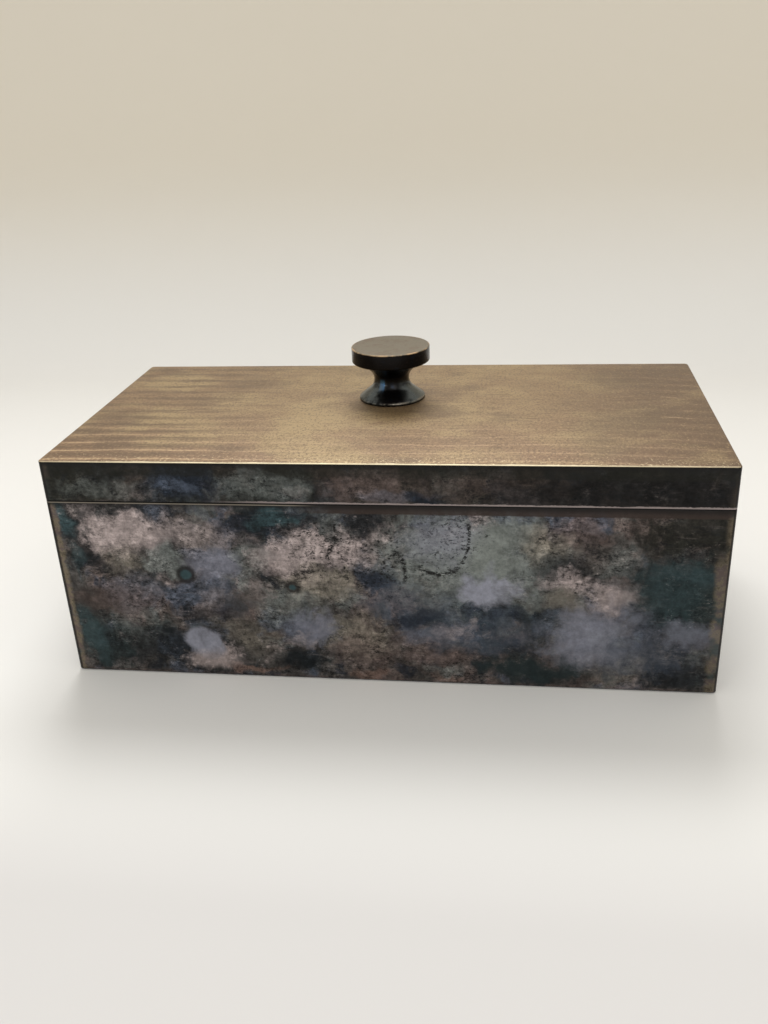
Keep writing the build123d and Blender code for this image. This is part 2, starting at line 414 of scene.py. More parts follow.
ALL_OVER_CLOUDS = (
    Cloud(Hue.ROSE_BROWN, 24.0, 0.47, 0.14, 0.75, 3.0, 1.2),
    Cloud(Hue.SLATE, 19.0, 0.50, 0.12, 0.8, 40.0),
    Cloud(Hue.GREY_GREEN, 17.0, 0.53, 0.14, 0.7, 90.0, 1.4),
    Cloud(Hue.DEEP_TEAL, 24.0, 0.55, 0.12, 0.8, 140.0),
    Cloud(Hue.SOOT, 13.0, 0.53, 0.14, 0.6, 190.0, 1.3),
    Cloud(Hue.COPPER_PINK, 15.0, 0.57, 0.12, 0.7, 240.0, 1.5),
    Cloud(Hue.NAVY, 11.0, 0.57, 0.10, 0.7, 330.0),
)

FRONT_STAINS = (
    Stain(Hue.GREY_GREEN, 30, 48, 30, 17, 0.9),
    Stain(Hue.SLATE, -85, 33, 13, 8, 0.5),
    Stain(Hue.ROSE_BROWN, -94, 29, 12, 7, 0.5),
    Stain(Hue.BLUE_BLACK, -98, 44, 12, 4, 0.7, 0.4, 4),
    Stain(Hue.BLUE_BLACK, -82, 14, 15, 9, 0.75),
    Stain(Hue.DEEP_TEAL, -102, 13, 9, 14, 0.85, 0.4, -12),
    Stain(Hue.COPPER_PINK, -89, 57, 14, 8.5, 0.95, 0.25, 0, 0.7),
    Stain(Hue.COPPER_PINK, -62, 58, 17, 6, 0.55),
    Stain(Hue.BEIGE, -88, 47, 9, 5, 0.5, 0.6),
    Stain(Hue.TEAL, -107, 48, 2.0, 8.0, 0.4),
    Stain(Hue.GREY_GREEN, -75, 45, 7, 6, 0.8, 0.3, 0, 0.5),
    Stain(Hue.LAVENDER, -57, 45, 10, 8, 0.6),
    Stain(Hue.SLATE, -62, 34, 11, 5, 0.6),
    Stain(Hue.BLUE_BLACK, -64, 25, 6, 5, 0.8),
    Stain(Hue.NAVY, -51, 27, 7, 4, 0.7),
    Stain(Hue.BEIGE, -46, 17, 9, 6, 0.4, 0.7),
    Stain(Hue.NAVY, -44, 62, 11, 4, 0.8),
    Stain(Hue.COPPER_PINK, -26, 50, 15, 10, 0.8, 0.3, 0, 0.5),
    Stain(Hue.COPPER_PINK, -9, 52, 9, 8, 0.75),
    Stain(Hue.BLUE_BLACK, -4, 62, 8, 4, 0.75),
    Stain(Hue.GREY_GREEN, -44, 48, 6, 6, 0.6),
    Stain(Hue.BLUE_BLACK, -36, 41.0, 6, 2.0, 0.85, 0.4, 10),
    Stain(Hue.BEIGE, -20, 38, 14, 6, 0.7),
    Stain(Hue.GREY_GREEN, -32, 30, 12, 6, 0.55),
    Stain(Hue.NAVY, -1, 40, 7, 4, 0.85),
    Stain(Hue.BLUE_BLACK, -28, 7, 9, 5, 0.8),
    Stain(Hue.BEIGE, -7, 18, 12, 8, 0.7),
    Stain(Hue.ROSE_BROWN, -5, 12, 13, 7, 0.6),
    Stain(Hue.ROSE_BROWN, 22, 11, 10, 5, 0.6),
    Stain(Hue.NAVY, 42, 30, 14, 3.0, 0.7, 0.5, 4),
    Stain(Hue.BEIGE, 57, 55, 10, 6, 0.75),
    Stain(Hue.ROSE_BROWN, 66, 60, 9, 5, 0.6),
    Stain(Hue.GREY_GREEN, 77, 49, 11, 6, 0.5, 0.6),
    Stain(Hue.BLUE_BLACK, 62, 48, 9, 4, 0.7, 0.7),
    Stain(Hue.UMBER, 70, 53, 5, 7, 0.6, 0.6),
    Stain(Hue.COPPER_PINK, 64, 42.5, 8, 4.0, 0.95, 0.5, 8, 0.6),
    Stain(Hue.COPPER_PINK, 79, 36, 10, 5, 0.85, 0.5, 10),
    Stain(Hue.DEEP_TEAL, 56, 27, 9, 7, 0.5, 0.6),
    Stain(Hue.DEEP_TEAL, 100, 36, 16, 16, 0.9, 0.3, 0, 0.5),
    Stain(Hue.OLIVE_BLACK, 101, 60, 18, 9, 0.92),
    Stain(Hue.OLIVE_BLACK, 111, 48, 5, 22, 0.6),
    Stain(Hue.BEIGE, 78, 9, 12, 6, 0.5, 0.6),
    Stain(Hue.BLUE_BLACK, 102, 7, 12, 5, 0.85),
    Stain(Hue.COPPER_PINK, -62, 7, 9.5, 5.5, 0.95, 0.3, 0, 0.6),
    Stain(Hue.TEAL, -109, 62, 3.0, 5.5, 0.7, 0.4, 0, 0.6),
    Stain(Hue.TEAL, -33, 62.5, 9, 3.0, 0.7, 0.35, 0, 0.8),
    Stain(Hue.COPPER, -48, 4, 13, 1.6, 0.5),
    Stain(Hue.COPPER, -4, 3.5, 9, 2.0, 0.45),
    Stain(Hue.COPPER, 24, 3, 7, 1.5, 0.35),
)

FRONT_BLOOMS = (
    Stain(Hue.LAVENDER, -57, 46, 9, 6, 0.5, 0.6),
    Stain(Hue.LAVENDER, -24, 20, 8, 6, 0.8, 0.5),
    Stain(Hue.TEAL, -105, 13, 3.5, 10, 0.5, 0.6, -14),
    Stain(Hue.SLATE, 8, 33, 15, 6, 0.5, 0.6),
    Stain(Hue.GREY_GREEN, 30, 46, 22, 12, 0.45, 0.7),
    Stain(Hue.LAVENDER_PALE, 22, 56, 10, 7, 0.45, 0.7),
    Stain(Hue.PALE_GREEN, 37, 52, 9, 8, 0.5, 0.7),
    Stain(Hue.LAVENDER_PALE, 36, 38, 10, 6, 0.9, 0.5),
    Stain(Hue.SLATE, 36, 20, 20, 7, 0.5, 0.6),
    Stain(Hue.NAVY, 13, 27, 7, 3.0, 0.75, 0.5, -12),
    Stain(Hue.LAVENDER, 19, 20, 8, 4, 0.4, 0.6),
    Stain(Hue.LAVENDER, 73, 21, 14, 11, 0.7, 0.6, -20),
    Stain(Hue.LAVENDER_PALE, 69, 22, 8, 8, 0.4, 0.7, -20),
    Stain(Hue.SLATE, 88, 13, 14, 6, 0.5, 0.6),
    Stain(Hue.LAVENDER, 102, 23, 9, 5, 0.55, 0.6),
    Stain(Hue.TEAL, 100, 38, 13, 9, 0.3, 0.7),
    Stain(Hue.TEAL, 99, 47, 9, 2.5, 0.35, 0.7, 8),
    Stain(Hue.DEEP_TEAL, 55, 7, 18, 4.5, 0.95, 0.5),
    Stain(Hue.UMBER, -101, 30, 8, 5, 0.6, 0.6),
    Stain(Hue.COPPER_PINK, -89, 57, 12, 6, 0.45, 0.6),
    Stain(Hue.COPPER_PINK, -35, 48, 7, 5, 0.35, 0.6),
    Stain(Hue.BEIGE, 62, 36, 6, 4, 0.45, 0.6),
    Stain(Hue.BARK, -46, 31, 8, 5, 0.5, 0.7),
    Stain(Hue.COPPER_PINK, 80, 37, 7, 3, 0.5, 0.6, 10),
)

FRONT_SPOTS = (
    Stain(Hue.LAVENDER_PALE, -64.5, 15.5, 6.4, 4.4, 0.8, 0.2),
    Stain(Hue.LAVENDER_PALE, -62.5, 11.5, 6.0, 4.6, 0.75, 0.25),
    Stain(Hue.COPPER_PINK, -61, 6.5, 9.5, 3.0, 0.6, 0.5),
    Stain(Hue.SOOT, -67.5, 41.1, 3.5, 3.5, 0.85, 0.25),
    Stain(Hue.TEAL, -67.5, 41.1, 1.8, 1.7, 0.95, 0.35),
    Stain(Hue.SOOT, -30, 37.4, 3.2, 2.4, 0.8, 0.3),
    Stain(Hue.TEAL, -30, 37.4, 1.3, 1.0, 0.95, 0.35),
)

FRONT_FLECKS = (
    Stain(Hue.SOOT, -44, 60, 12, 4, 0.7, 0.6),
    Stain(Hue.SOOT, -19, 51, 10, 9, 0.9, 0.6),
    Stain(Hue.SOOT, 3, 47, 7, 12, 0.9, 0.6),
    Stain(Hue.SOOT, 24, 55, 10, 11, 0.85, 0.6),
    Stain(Hue.SOOT, 62, 48, 12, 10, 0.8, 0.6),
)

FRONT_CRACKS = (
    Crack(-28.0, 59.0, 14.5, -12.0, 34.0, 0.5),
    Crack(-30.0, 58.0, 15.5, -75.0, 26.0, 0.7),
    Crack(-3.0, 43.0, 12.1, 18.0, 37.0, 0.6),
    Crack(14.0, 58.0, 17.0, -12.0, 34.0, 0.45),
    Crack(21.0, 54.0, 10.4, -95.0, 44.0, 0.6),
)

SKIRT_STAINS = (
    Stain(Hue.OLIVE_BLACK, -104, 77, 14, 8, 0.9),
    Stain(Hue.GREY_GREEN, -91, 73, 13, 3.4, 0.35),
    Stain(Hue.NAVY, -64, 76, 13, 6.5, 0.8),
    Stain(Hue.SLATE, -66, 74, 7, 2.5, 0.5),
    Stain(Hue.GREY_GREEN, -36, 75, 16, 6.0, 0.5),
    Stain(Hue.UMBER, -16, 78, 5, 5.0, 0.6),
    Stain(Hue.ROSE_BROWN, -2, 75, 12, 6.5, 0.5),
    Stain(Hue.LAVENDER, 3, 71.5, 9, 2.5, 0.3),
    Stain(Hue.NAVY, 16, 71.5, 5, 2.5, 0.8),
    Stain(Hue.ROSE_BROWN, 28, 76, 12, 6.0, 0.3),
    Stain(Hue.UMBER, 52, 76, 20, 8.0, 0.6),
    Stain(Hue.SOOT, 74, 74, 22, 8, 0.9),
    Stain(Hue.SOOT, 101, 75, 17, 9, 0.95),
)


@dataclass(frozen=True)
class PatinatedBrass(Finish):
    """Brass darkened by a mottled copper patina and waxed: satin, cloudy, and rubbed bright along its edges,
    with painted shade and highlights at its rims and corners.

    Attributes:
        half_length: Half the box's length, in millimetres.
        half_depth: Half its depth, in millimetres.
        low: The lower rim's height, in millimetres.
        high: The upper rim's height, in millimetres.
        ground: The colour under the clouds.
        cloud_strength: How strongly the all-over clouds show.
        stains: Stains at places of their own on the front, under the mottling.
        blooms: Smooth pale stains that lie over the mottling.
        spots: Small stains with clear edges, over the blooms.
        flecks: Regions where the patina has flaked off in small dark flecks.
        cracks: Broken lines in the front's patina.
        low_rim: How strongly the lower rim is rubbed.
        low_hue: The colour that it is rubbed to.
        lip: How strongly the lower rim's lip is rubbed to a thin pale line.
        lip_run: The places along the box between which that line fades in, in millimetres.
        high_rim: How strongly the upper rim is rubbed pale. The pale line is wear and a painted highlight of
            the rounded rim both.
        high_run: The places along the box between which that rubbed and highlighted line fades in, in
            millimetres.
        side_wear: How strongly the upright corners are rubbed to gold.
        band: The height of the painted shadow band under the upper rim, the shadow that the lid's overhang
            casts, in millimetres.
        top_shade: How strongly the upper third of the face is darkened.
        scuffs: How strongly pale strokes and flecks show.
    """

    half_length: float
    half_depth: float
    low: float
    high: float
    ground: Hue = Hue.SOOT
    cloud_strength: float = 1.0
    stains: tuple[Stain, ...] = ()
    blooms: tuple[Stain, ...] = ()
    spots: tuple[Stain, ...] = ()
    flecks: tuple[Stain, ...] = ()
    cracks: tuple[Crack, ...] = ()
    low_rim: float = 0.5
    low_hue: Hue = Hue.COPPER
    lip: float = 0.0
    lip_run: tuple[float, float] = (-60.0, -30.0)
    high_rim: float = 0.3
    high_run: tuple[float, float] = ALL_ALONG
    side_wear: float = 0.6
    band: float = 0.0
    top_shade: float = 0.0
    scuffs: float = 1.0

    def surface(self, nodes: Nodes) -> dict[str, Any]:
        """Lay clouds and stains, age and mottle them, lay what lies over that, rub the edges, and paint shade
        and highlights at the rims and corners.

        Args:
            nodes: The material's nodes.

        Returns:
            What the shader's inputs take, by their names.
        """
        patina = Patina(nodes, self)
        patina.stain(self.stains)
        patina.age()
        patina.mottle()
        patina.stain(self.blooms)
        patina.spot()
        patina.dapple()
        patina.craze()
        bare = patina.rub()
        waves = nodes.add("TexNoise", patina.place, Scale=1 / 38.0, Detail=1.0)[0]
        sheet = nodes.add("Bump", Height=waves, Strength=0.35, Distance=0.5 * MM)[0]
        tooth = nodes.add("Bump", Height=patina.fray, Strength=0.25, Distance=0.08 * MM, Normal=sheet)[0]
        return {
            "Base Color": patina.colour,
            "Roughness": nodes.add("MapRange", patina.fray, 0.3, 0.7, 0.34, 0.56)[0],
            "Metallic": nodes.add("MapRange", bare, None, None, 0.8, 1.0)[0],
            "Normal": tooth,
        }


class Patina:
    """A patinated surface while it is drawn, coat by coat.

    Attributes:
        nodes: The material's nodes.
        look: The finish that is drawn.
        front: Where the front face stands, in millimetres.
        place: Places in millimetres.
        ragged: The same places, pushed about.
        fray: Noise of a few millimetres.
        broad: Noise of about a centimetre.
        frays: Three noises about nothing, by which neighbouring stains fray apart.
        speckle: Noise of about a millimetre.
        colour: The colour so far.
    """

    def __init__(self, nodes: Nodes, look: PatinatedBrass) -> None:
        """Draw the noises, and the ground with its clouds.

        Args:
            nodes: The material's nodes.
            look: The finish that is drawn.
        """
        self.nodes = nodes
        self.look = look
        self.front = -look.half_depth
        self.place = nodes.place()
        self.ragged = nodes.pushed(nodes.pushed(self.place, 18.0, 6.0), 5.0, 2.6)
        self.fray = nodes.add("TexNoise", self.place, Scale=1 / 3.2, Detail=7.0, Roughness=0.74)[0]
        self.broad, tints = nodes.add("TexNoise", self.ragged, Scale=1 / 9.0, Detail=6.0, Roughness=0.66)
        channels = nodes.add("SeparateColor", tints)
        self.frays = [nodes.add("Math", c, 2.6, -1.3, operation="MULTIPLY_ADD")[0] for c in channels]
        wiped = nodes.add("Mapping", self.place, Scale=(0.55, 0.9, 0.9))[0]
        self.speckle = nodes.add("TexNoise", wiped, Scale=1.0, Detail=5.0, Roughness=0.82)[0]
        clouds = nodes.paint(look.ground, *[cloud.coat(nodes, self.ragged) for cloud in ALL_OVER_CLOUDS])
        self.colour = nodes.paint(look.ground, (clouds, look.cloud_strength))

    def lay(self, *coats: Coat) -> None:
        """Lay coats over the colour so far."""
        self.colour = self.nodes.paint(self.colour, *coats)

    def shade(self, factor: Any) -> None:
        """Make the colour lighter or darker by a factor."""
        self.colour = self.nodes.add("HueSaturation", Color=self.colour, Value=factor)[0]

    def stain(self, stains: Iterable[Stain]) -> None:
        """Lay stains, neighbours frayed by different noises."""
        for stain, fray in zip(stains, cycle(self.frays)):
            self.lay(*stain.coats(self.nodes, self.ragged, fray, self.front))

    def age(self) -> None:
        """Break the colour up with wiping strokes and pits."""
        wiped = self.nodes.add("Mapping", self.place, Rotation=(0.0, 0.25, 0.0), Scale=(0.11, 0.11, 0.9))[0]
        strokes = self.nodes.add("TexNoise", wiped, Scale=1.0, Detail=4.0, Roughness=0.65)[0]
        pitted = self.nodes.mask((self.broad, 0.46, 0.58))
        self.lay(
            (Hue.BLUE_BLACK, (self.broad, 0.44, 0.30, 0.5)),
            (Hue.BLUE_BLACK, pitted, (self.speckle, 0.49, 0.38, 0.6)),
            (Hue.BLUE_BLACK, (strokes, 0.47, 0.30, 0.35)),
            (Hue.COPPER_PINK, (strokes, 0.56, 0.75, 0.12 * self.look.scuffs)),
            (Hue.COPPER_PINK, pitted, (self.speckle, 0.58, 0.68, 0.22 * self.look.scuffs)),
        )

    def mottle(self) -> None:
        """Lighten and darken the colour by two fine noises, the finer one in some regions only."""
        lively = self.nodes.mask((self.broad, 0.40, 0.62))
        coarse = self.nodes.add("MapRange", self.fray, 0.30, 0.72, 0.4, 1.55)[0]
        fine = self.nodes.add("MapRange", self.speckle, 0.30, 0.70, 0.1, 1.9)[0]
        for factor, share in ((coarse, 1.0), (fine, lively)):
            self.shade(self.nodes.add("Mix", share, None, 1.0, factor)[0])

    def spot(self) -> None:
        """Lay the small spots, and the dark flecks where the patina has flaked."""
        close = self.nodes.pushed(self.place, 5.0, 0.9)
        faint = self.nodes.add("Math", self.frays[0], 0.35, operation="MULTIPLY")[0]
        for spot in self.look.spots:
            self.lay(*spot.coats(self.nodes, close, faint, self.front))
        flaked = self.nodes.mask((self.speckle, 0.46, 0.40))
        for region, fray in zip(self.look.flecks, cycle(self.frays)):
            hue, inside = region.coats(self.nodes, self.ragged, fray, self.front)[0]
            self.lay((hue, inside, flaked))

    def dapple(self) -> None:
        """Lighten and darken the whole a little, over a few millimetres."""
        self.shade(self.nodes.add("MapRange", self.fray, 0.30, 0.72, 0.7, 1.3)[0])

    def craze(self) -> None:
        """Draw the cracks in the front's patina."""
        nodes = self.nodes
        depth = nodes.add("SeparateXYZ", self.place)["Y"]
        on_front = nodes.mask((depth, 1 + self.front, self.front))
        dashes = nodes.mask((self.speckle, 0.58, 0.50, 0.95), on_front)
        flecks = nodes.mask((self.speckle, 0.45, 0.40, 0.9), on_front)
        jagged = nodes.pushed(nodes.pushed(self.place, 6.0, 1.6), 2.0, 0.7)
        self.lay(*[crack.coat(nodes, jagged, dashes, flecks) for crack in self.look.cracks])

    def rub(self) -> Any:
        """Rub the upright corners to gold and the rims to copper, and paint the light and shade of the rims and
        corners.

        Returns:
            The mask of bare metal.
        """
        nodes, look, fray = self.nodes, self.look, self.fray
        along, depth, height = nodes.add("SeparateXYZ", self.place)
        long_wave = nodes.add("TexNoise", self.place, Scale=1 / 19.0, Detail=4.0, Roughness=0.62)[0]
        uneven = nodes.add("Math", fray, 2.0, -1.0, operation="MULTIPLY_ADD")[0]
        wander = nodes.add("Math", long_wave, 6.5, -3.2, operation="MULTIPLY_ADD")[0]
        wander = nodes.add("Math", wander, uneven, operation="ADD")[0]
        from_sides = []
        for part, half in ((along, look.half_length), (depth, look.half_depth)):
            part = nodes.add("Math", part, operation="ABSOLUTE")[0]
            from_sides.append(nodes.add("Math", half, part, operation="SUBTRACT")[0])
        corner = nodes.add("Math", *from_sides, operation="MAXIMUM")[0]
        ragged_corner = nodes.add("Math", corner, wander, operation="ADD")[0]
        at_left = nodes.mask((along, -96.0, -106.0))
        low_right = nodes.mask((along, 96.0, 106.0, 0.8), (height, 56.0, 46.0))
        strip = nodes.mask((ragged_corner, 3.2, 0.6, look.side_wear))
        for reach, region in ((4.0, at_left), (5.2, low_right)):
            wide = nodes.mask((ragged_corner, reach, 0.6 * reach, 1.3 * look.side_wear), region)
            strip = nodes.add("Math", strip, wide, operation="MAXIMUM")[0]
        above_low = nodes.add("Math", height, look.low, operation="SUBTRACT")[0]
        below_high = nodes.add("Math", look.high, height, operation="SUBTRACT")[0]
        ragged_low = nodes.add("Math", above_low, uneven, operation="ADD")[0]
        ragged_top = nodes.add("Math", below_high, uneven, operation="ADD")[0]
        shadow_band_edge = nodes.add("Math", uneven, 0.35, below_high, operation="MULTIPLY_ADD")[0]
        lip_edge = nodes.add("Math", uneven, 0.7, above_low, operation="MULTIPLY_ADD")[0]
        low_run = nodes.mask((long_wave, 0.36, 0.5), (along, *ALL_ALONG))
        low_wear = nodes.mask((ragged_low, 1.7, 0.5, look.low_rim), low_run, (fray, 0.42, 0.54))
        # The pale upper rim line is wear and a painted highlight where the rounded rim catches the light.
        high_wear_and_highlight = nodes.mask((below_high, 0.72, 0.55, look.high_rim), (along, *look.high_run))
        # Painted shadow: the band under the upper rim is the shadow that the lid's overhang casts on the front.
        band = (shadow_band_edge, look.band, 0.85 * look.band, 0.9) if look.band else 0.0
        gold = nodes.paint(
            Hue.WORN_GOLD,
            (Hue.ROSE_BROWN, (fray, 0.42, 0.58)),
            (Hue.TEAL, (long_wave, 0.50, 0.60, 0.8)),
            (Hue.UMBER, (fray, 0.47, 0.38, 0.6)),
        )
        self.lay(
            (Hue.OLIVE_BLACK, (ragged_top, 5.6, 4.0, look.top_shade)),
            (Hue.UMBER, band, (along, -30.0, -12.0)),
            (gold, strip),
            (look.low_hue, low_wear),
            # Painted shade: the face darkens towards the upper rim, just under it.
            (Hue.SOOT, (below_high, 2.6, 0.5, 0.75)),
            # Painted shade: dark lines on the rounded upright corners, where they turn away from the light,
            # wider at the left.
            (Hue.SOOT, (corner, 1.3, 0.7, 0.9)),
            (Hue.SOOT, (corner, 2.0, 1.3, 0.85), at_left),
            (Hue.BEIGE, high_wear_and_highlight),
            (Hue.COPPER_PINK, (lip_edge, 0.95, 0.7, look.lip), (along, *look.lip_run)),
            # Painted shade: black lines along the rounded upper and lower rims, standing for the dark groove of
            # the seam and the contact with the table.
            (Hue.SOOT, (below_high, 0.34, 0.22, 0.97)),
            (Hue.SOOT, (above_low, 0.32, 0.20, 0.97)),
        )
        bare = nodes.add("Math", low_wear, high_wear_and_highlight, operation="MAXIMUM")[0]
        return nodes.add("Math", bare, strip, operation="MAXIMUM")[0]


@dataclass(frozen=True)
class AgedLidBrass(Finish):
    """Brass brushed along its length and left to age: an olive tan, pale in the middle, streaked at the ends.

    Attributes:
        half_length: Half the plate's length, in millimetres.
        half_depth: Half its depth, in millimetres.
        streak_pitch: How far apart the lengthwise streaks lie, in millimetres.
        bend_from: The place along the plate past which they bend forward, in millimetres.
        bend_by: How fast they bend, per millimetre.
        front_wear_and_highlight: Half the width of the bright line along the front edge, which is wear and a
            painted highlight both, in millimetres.
    """

    half_length: float
    half_depth: float
    streak_pitch: float = 7.6
    bend_from: float = 62.0
    bend_by: float = 0.002
    front_wear_and_highlight: float = 0.36

    def surface(self, nodes: Nodes) -> dict[str, Any]:
        """Lay clouds, streaks, brush lines, smudges and grain over the tan, and rub the front edge to a bright
        line that is wear and painted highlight both.

        Args:
            nodes: The material's nodes.

        Returns:
            What the shader's inputs take, by their names.
        """
        place = nodes.place()
        along, depth, _ = nodes.add("SeparateXYZ", place)
        clouds = nodes.add("TexNoise", place, Scale=1 / 42.0, Detail=5.0, Roughness=0.6)[0]
        mottle = nodes.add("TexNoise", place, Scale=1 / 9.0, Detail=5.0, Roughness=0.7)[0]
        grained = nodes.add("Mapping", place, Scale=(1.1, 0.7, 1.0))[0]
        speckle = nodes.add("TexNoise", grained, Scale=1.0, Detail=4.0, Roughness=0.82)[0]
        brushed = nodes.add("Mapping", place, Scale=(0.05, 0.55, 1.0))[0]
        brush = nodes.add("TexNoise", brushed, Scale=1.0, Detail=5.0, Roughness=0.75)[0]
        smudged = nodes.add("Mapping", place, (31.0,) * 3, Scale=(0.6, 1.0, 1.0))[0]
        smudges = nodes.add("TexNoise", smudged, Scale=1 / 18.0, Detail=3.0, Roughness=0.5)[0]
        from_middle = nodes.add("Math", along, operation="ABSOLUTE")[0]
        uneven = nodes.add("Math", clouds, 90.0, -45.0, operation="MULTIPLY_ADD")[0]
        ragged = nodes.add("Math", from_middle, uneven, operation="ADD")[0]
        ends = nodes.mask((ragged, 0.35 * self.half_length, 0.95 * self.half_length, 0.8))
        streaks = self.streaks(nodes, place, along)
        broken = nodes.mask((brush, 0.36, 0.52))
        at_left = nodes.mask((along, -35.0, -80.0))
        at_right = nodes.mask((along, 70.0, 105.0))
        rough_front = nodes.add("Math", clouds, 90.0, depth, operation="MULTIPLY_ADD")[0]
        toward_front = nodes.mask((rough_front, 45.0, -15.0))
        fine_line = nodes.mask((streaks, 0.14, 0.02, 0.85), broken)
        colour = nodes.paint(
            Hue.LID_TAN,
            (Hue.LID_PALE, (clouds, 0.44, 0.60, 0.85)),
            (Hue.LID_UMBER, ends, (along, -60.0, 80.0)),
            (Hue.LID_BROWN, ends, (clouds, 0.56, 0.42, 0.7)),
            (Hue.LID_BROWN, toward_front, (clouds, 0.66, 0.44, 0.8)),
            (Hue.LID_UMBER, (streaks, 0.45, 0.85, 0.7), at_left, broken),
            (Hue.LID_UMBER, (streaks, 0.50, 0.85, 0.55), at_right, broken),
            (Hue.LID_GLINT, (streaks, 0.12, 0.02, 0.45), broken, toward_front),
            (Hue.LID_GLINT, fine_line, at_left, toward_front),
            (Hue.LID_GLINT, fine_line, at_right, (mottle, 0.48, 0.60)),
            (Hue.LID_UMBER, (mottle, 0.54, 0.76, 0.45)),
            (Hue.LID_UMBER, (brush, 0.52, 0.70, 0.7)),
            (Hue.LID_PALE, (brush, 0.46, 0.30, 0.5)),
            (Hue.LID_UMBER, (along, 55.0, 118.0, 0.6)),
            (Hue.LID_UMBER, (smudges, 0.52, 0.66, 0.5)),
            (Hue.LID_PALE, (smudges, 0.46, 0.32, 0.4)),
            (Hue.LID_UMBER, (speckle, 0.52, 0.36, 0.75)),
            (Hue.LID_PALE, (speckle, 0.52, 0.70, 0.65)),
            (Hue.LID_UMBER, toward_front, (speckle, 0.48, 0.34, 0.5)),
            (Hue.LID_GLINT, toward_front, (speckle, 0.58, 0.74, 0.5)),
            *self.front_edge(nodes, along, depth, mottle, speckle),
        )
        return {
            "Base Color": colour,
            "Metallic": 0.35,
            "Roughness": nodes.add("MapRange", mottle, 0.3, 0.7, 0.44, 0.56)[0],
            "Normal": nodes.add("Bump", Height=brush, Strength=0.2, Distance=0.05 * MM)[0],
        }

    def streaks(self, nodes: Nodes, place: Any, along: Any) -> Any:
        """Draw the lengthwise streaks, which wander a little and bend forward at the right end.

        Args:
            nodes: The material's nodes.
            place: Places in millimetres.
            along: The place along the plate, in millimetres.

        Returns:
            The socket of waves between nothing and one.
        """
        past_bend = nodes.add("Math", along, self.bend_from, operation="SUBTRACT")[0]
        past_bend = nodes.add("Math", past_bend, 0.0, operation="MAXIMUM")[0]
        square = nodes.add("Math", past_bend, past_bend, operation="MULTIPLY")[0]
        shift = nodes.add("Math", square, self.bend_by, operation="MULTIPLY")[0]
        bent = nodes.add("VectorMath", place, nodes.add("CombineXYZ", Y=shift)[0], operation="ADD")[0]
        wandering = nodes.pushed(bent, 60.0, 4.2)
        scale = math.pi / (10 * self.streak_pitch)
        return nodes.add("TexWave", wandering, Scale=scale, wave_type="BANDS", bands_direction="Y")["Fac"]

    def front_edge(self, nodes: Nodes, along: Any, depth: Any, mottle: Any, speckle: Any) -> list[Coat]:
        """Rub the front edge to bright brass, a line that is wear and a painted highlight both, with worn
        flecks behind it.

        Args:
            nodes: The material's nodes.
            along: The place along the plate, in millimetres.
            depth: The place across it, in millimetres.
            mottle: Noise that makes the line uneven.
            speckle: Fine noise for the flecks.

        Returns:
            The coats of the flecks and of the line.
        """
        behind = nodes.add("Math", depth, self.half_depth, operation="ADD")[0]
        uneven = nodes.add("Math", mottle, 1.6, -0.8, operation="MULTIPLY_ADD")[0]
        ragged = nodes.add("Math", behind, uneven, operation="ADD")[0]
        fades = [nodes.add("MapRange", along, *run, 1.0, 0.45)[0] for run in ((45.0, 112.0), (-80.0, -112.0))]
        # Wear and painted highlight: the bright line along the lid's front edge.
        line = (Hue.BRIGHT_BRASS, (ragged, 2 * self.front_wear_and_highlight, self.front_wear_and_highlight, 0.95), *fades)
        return [(Hue.BRIGHT_BRASS, (behind, 9.0, 0.5, 0.9), (speckle, 0.58, 0.66)), line]


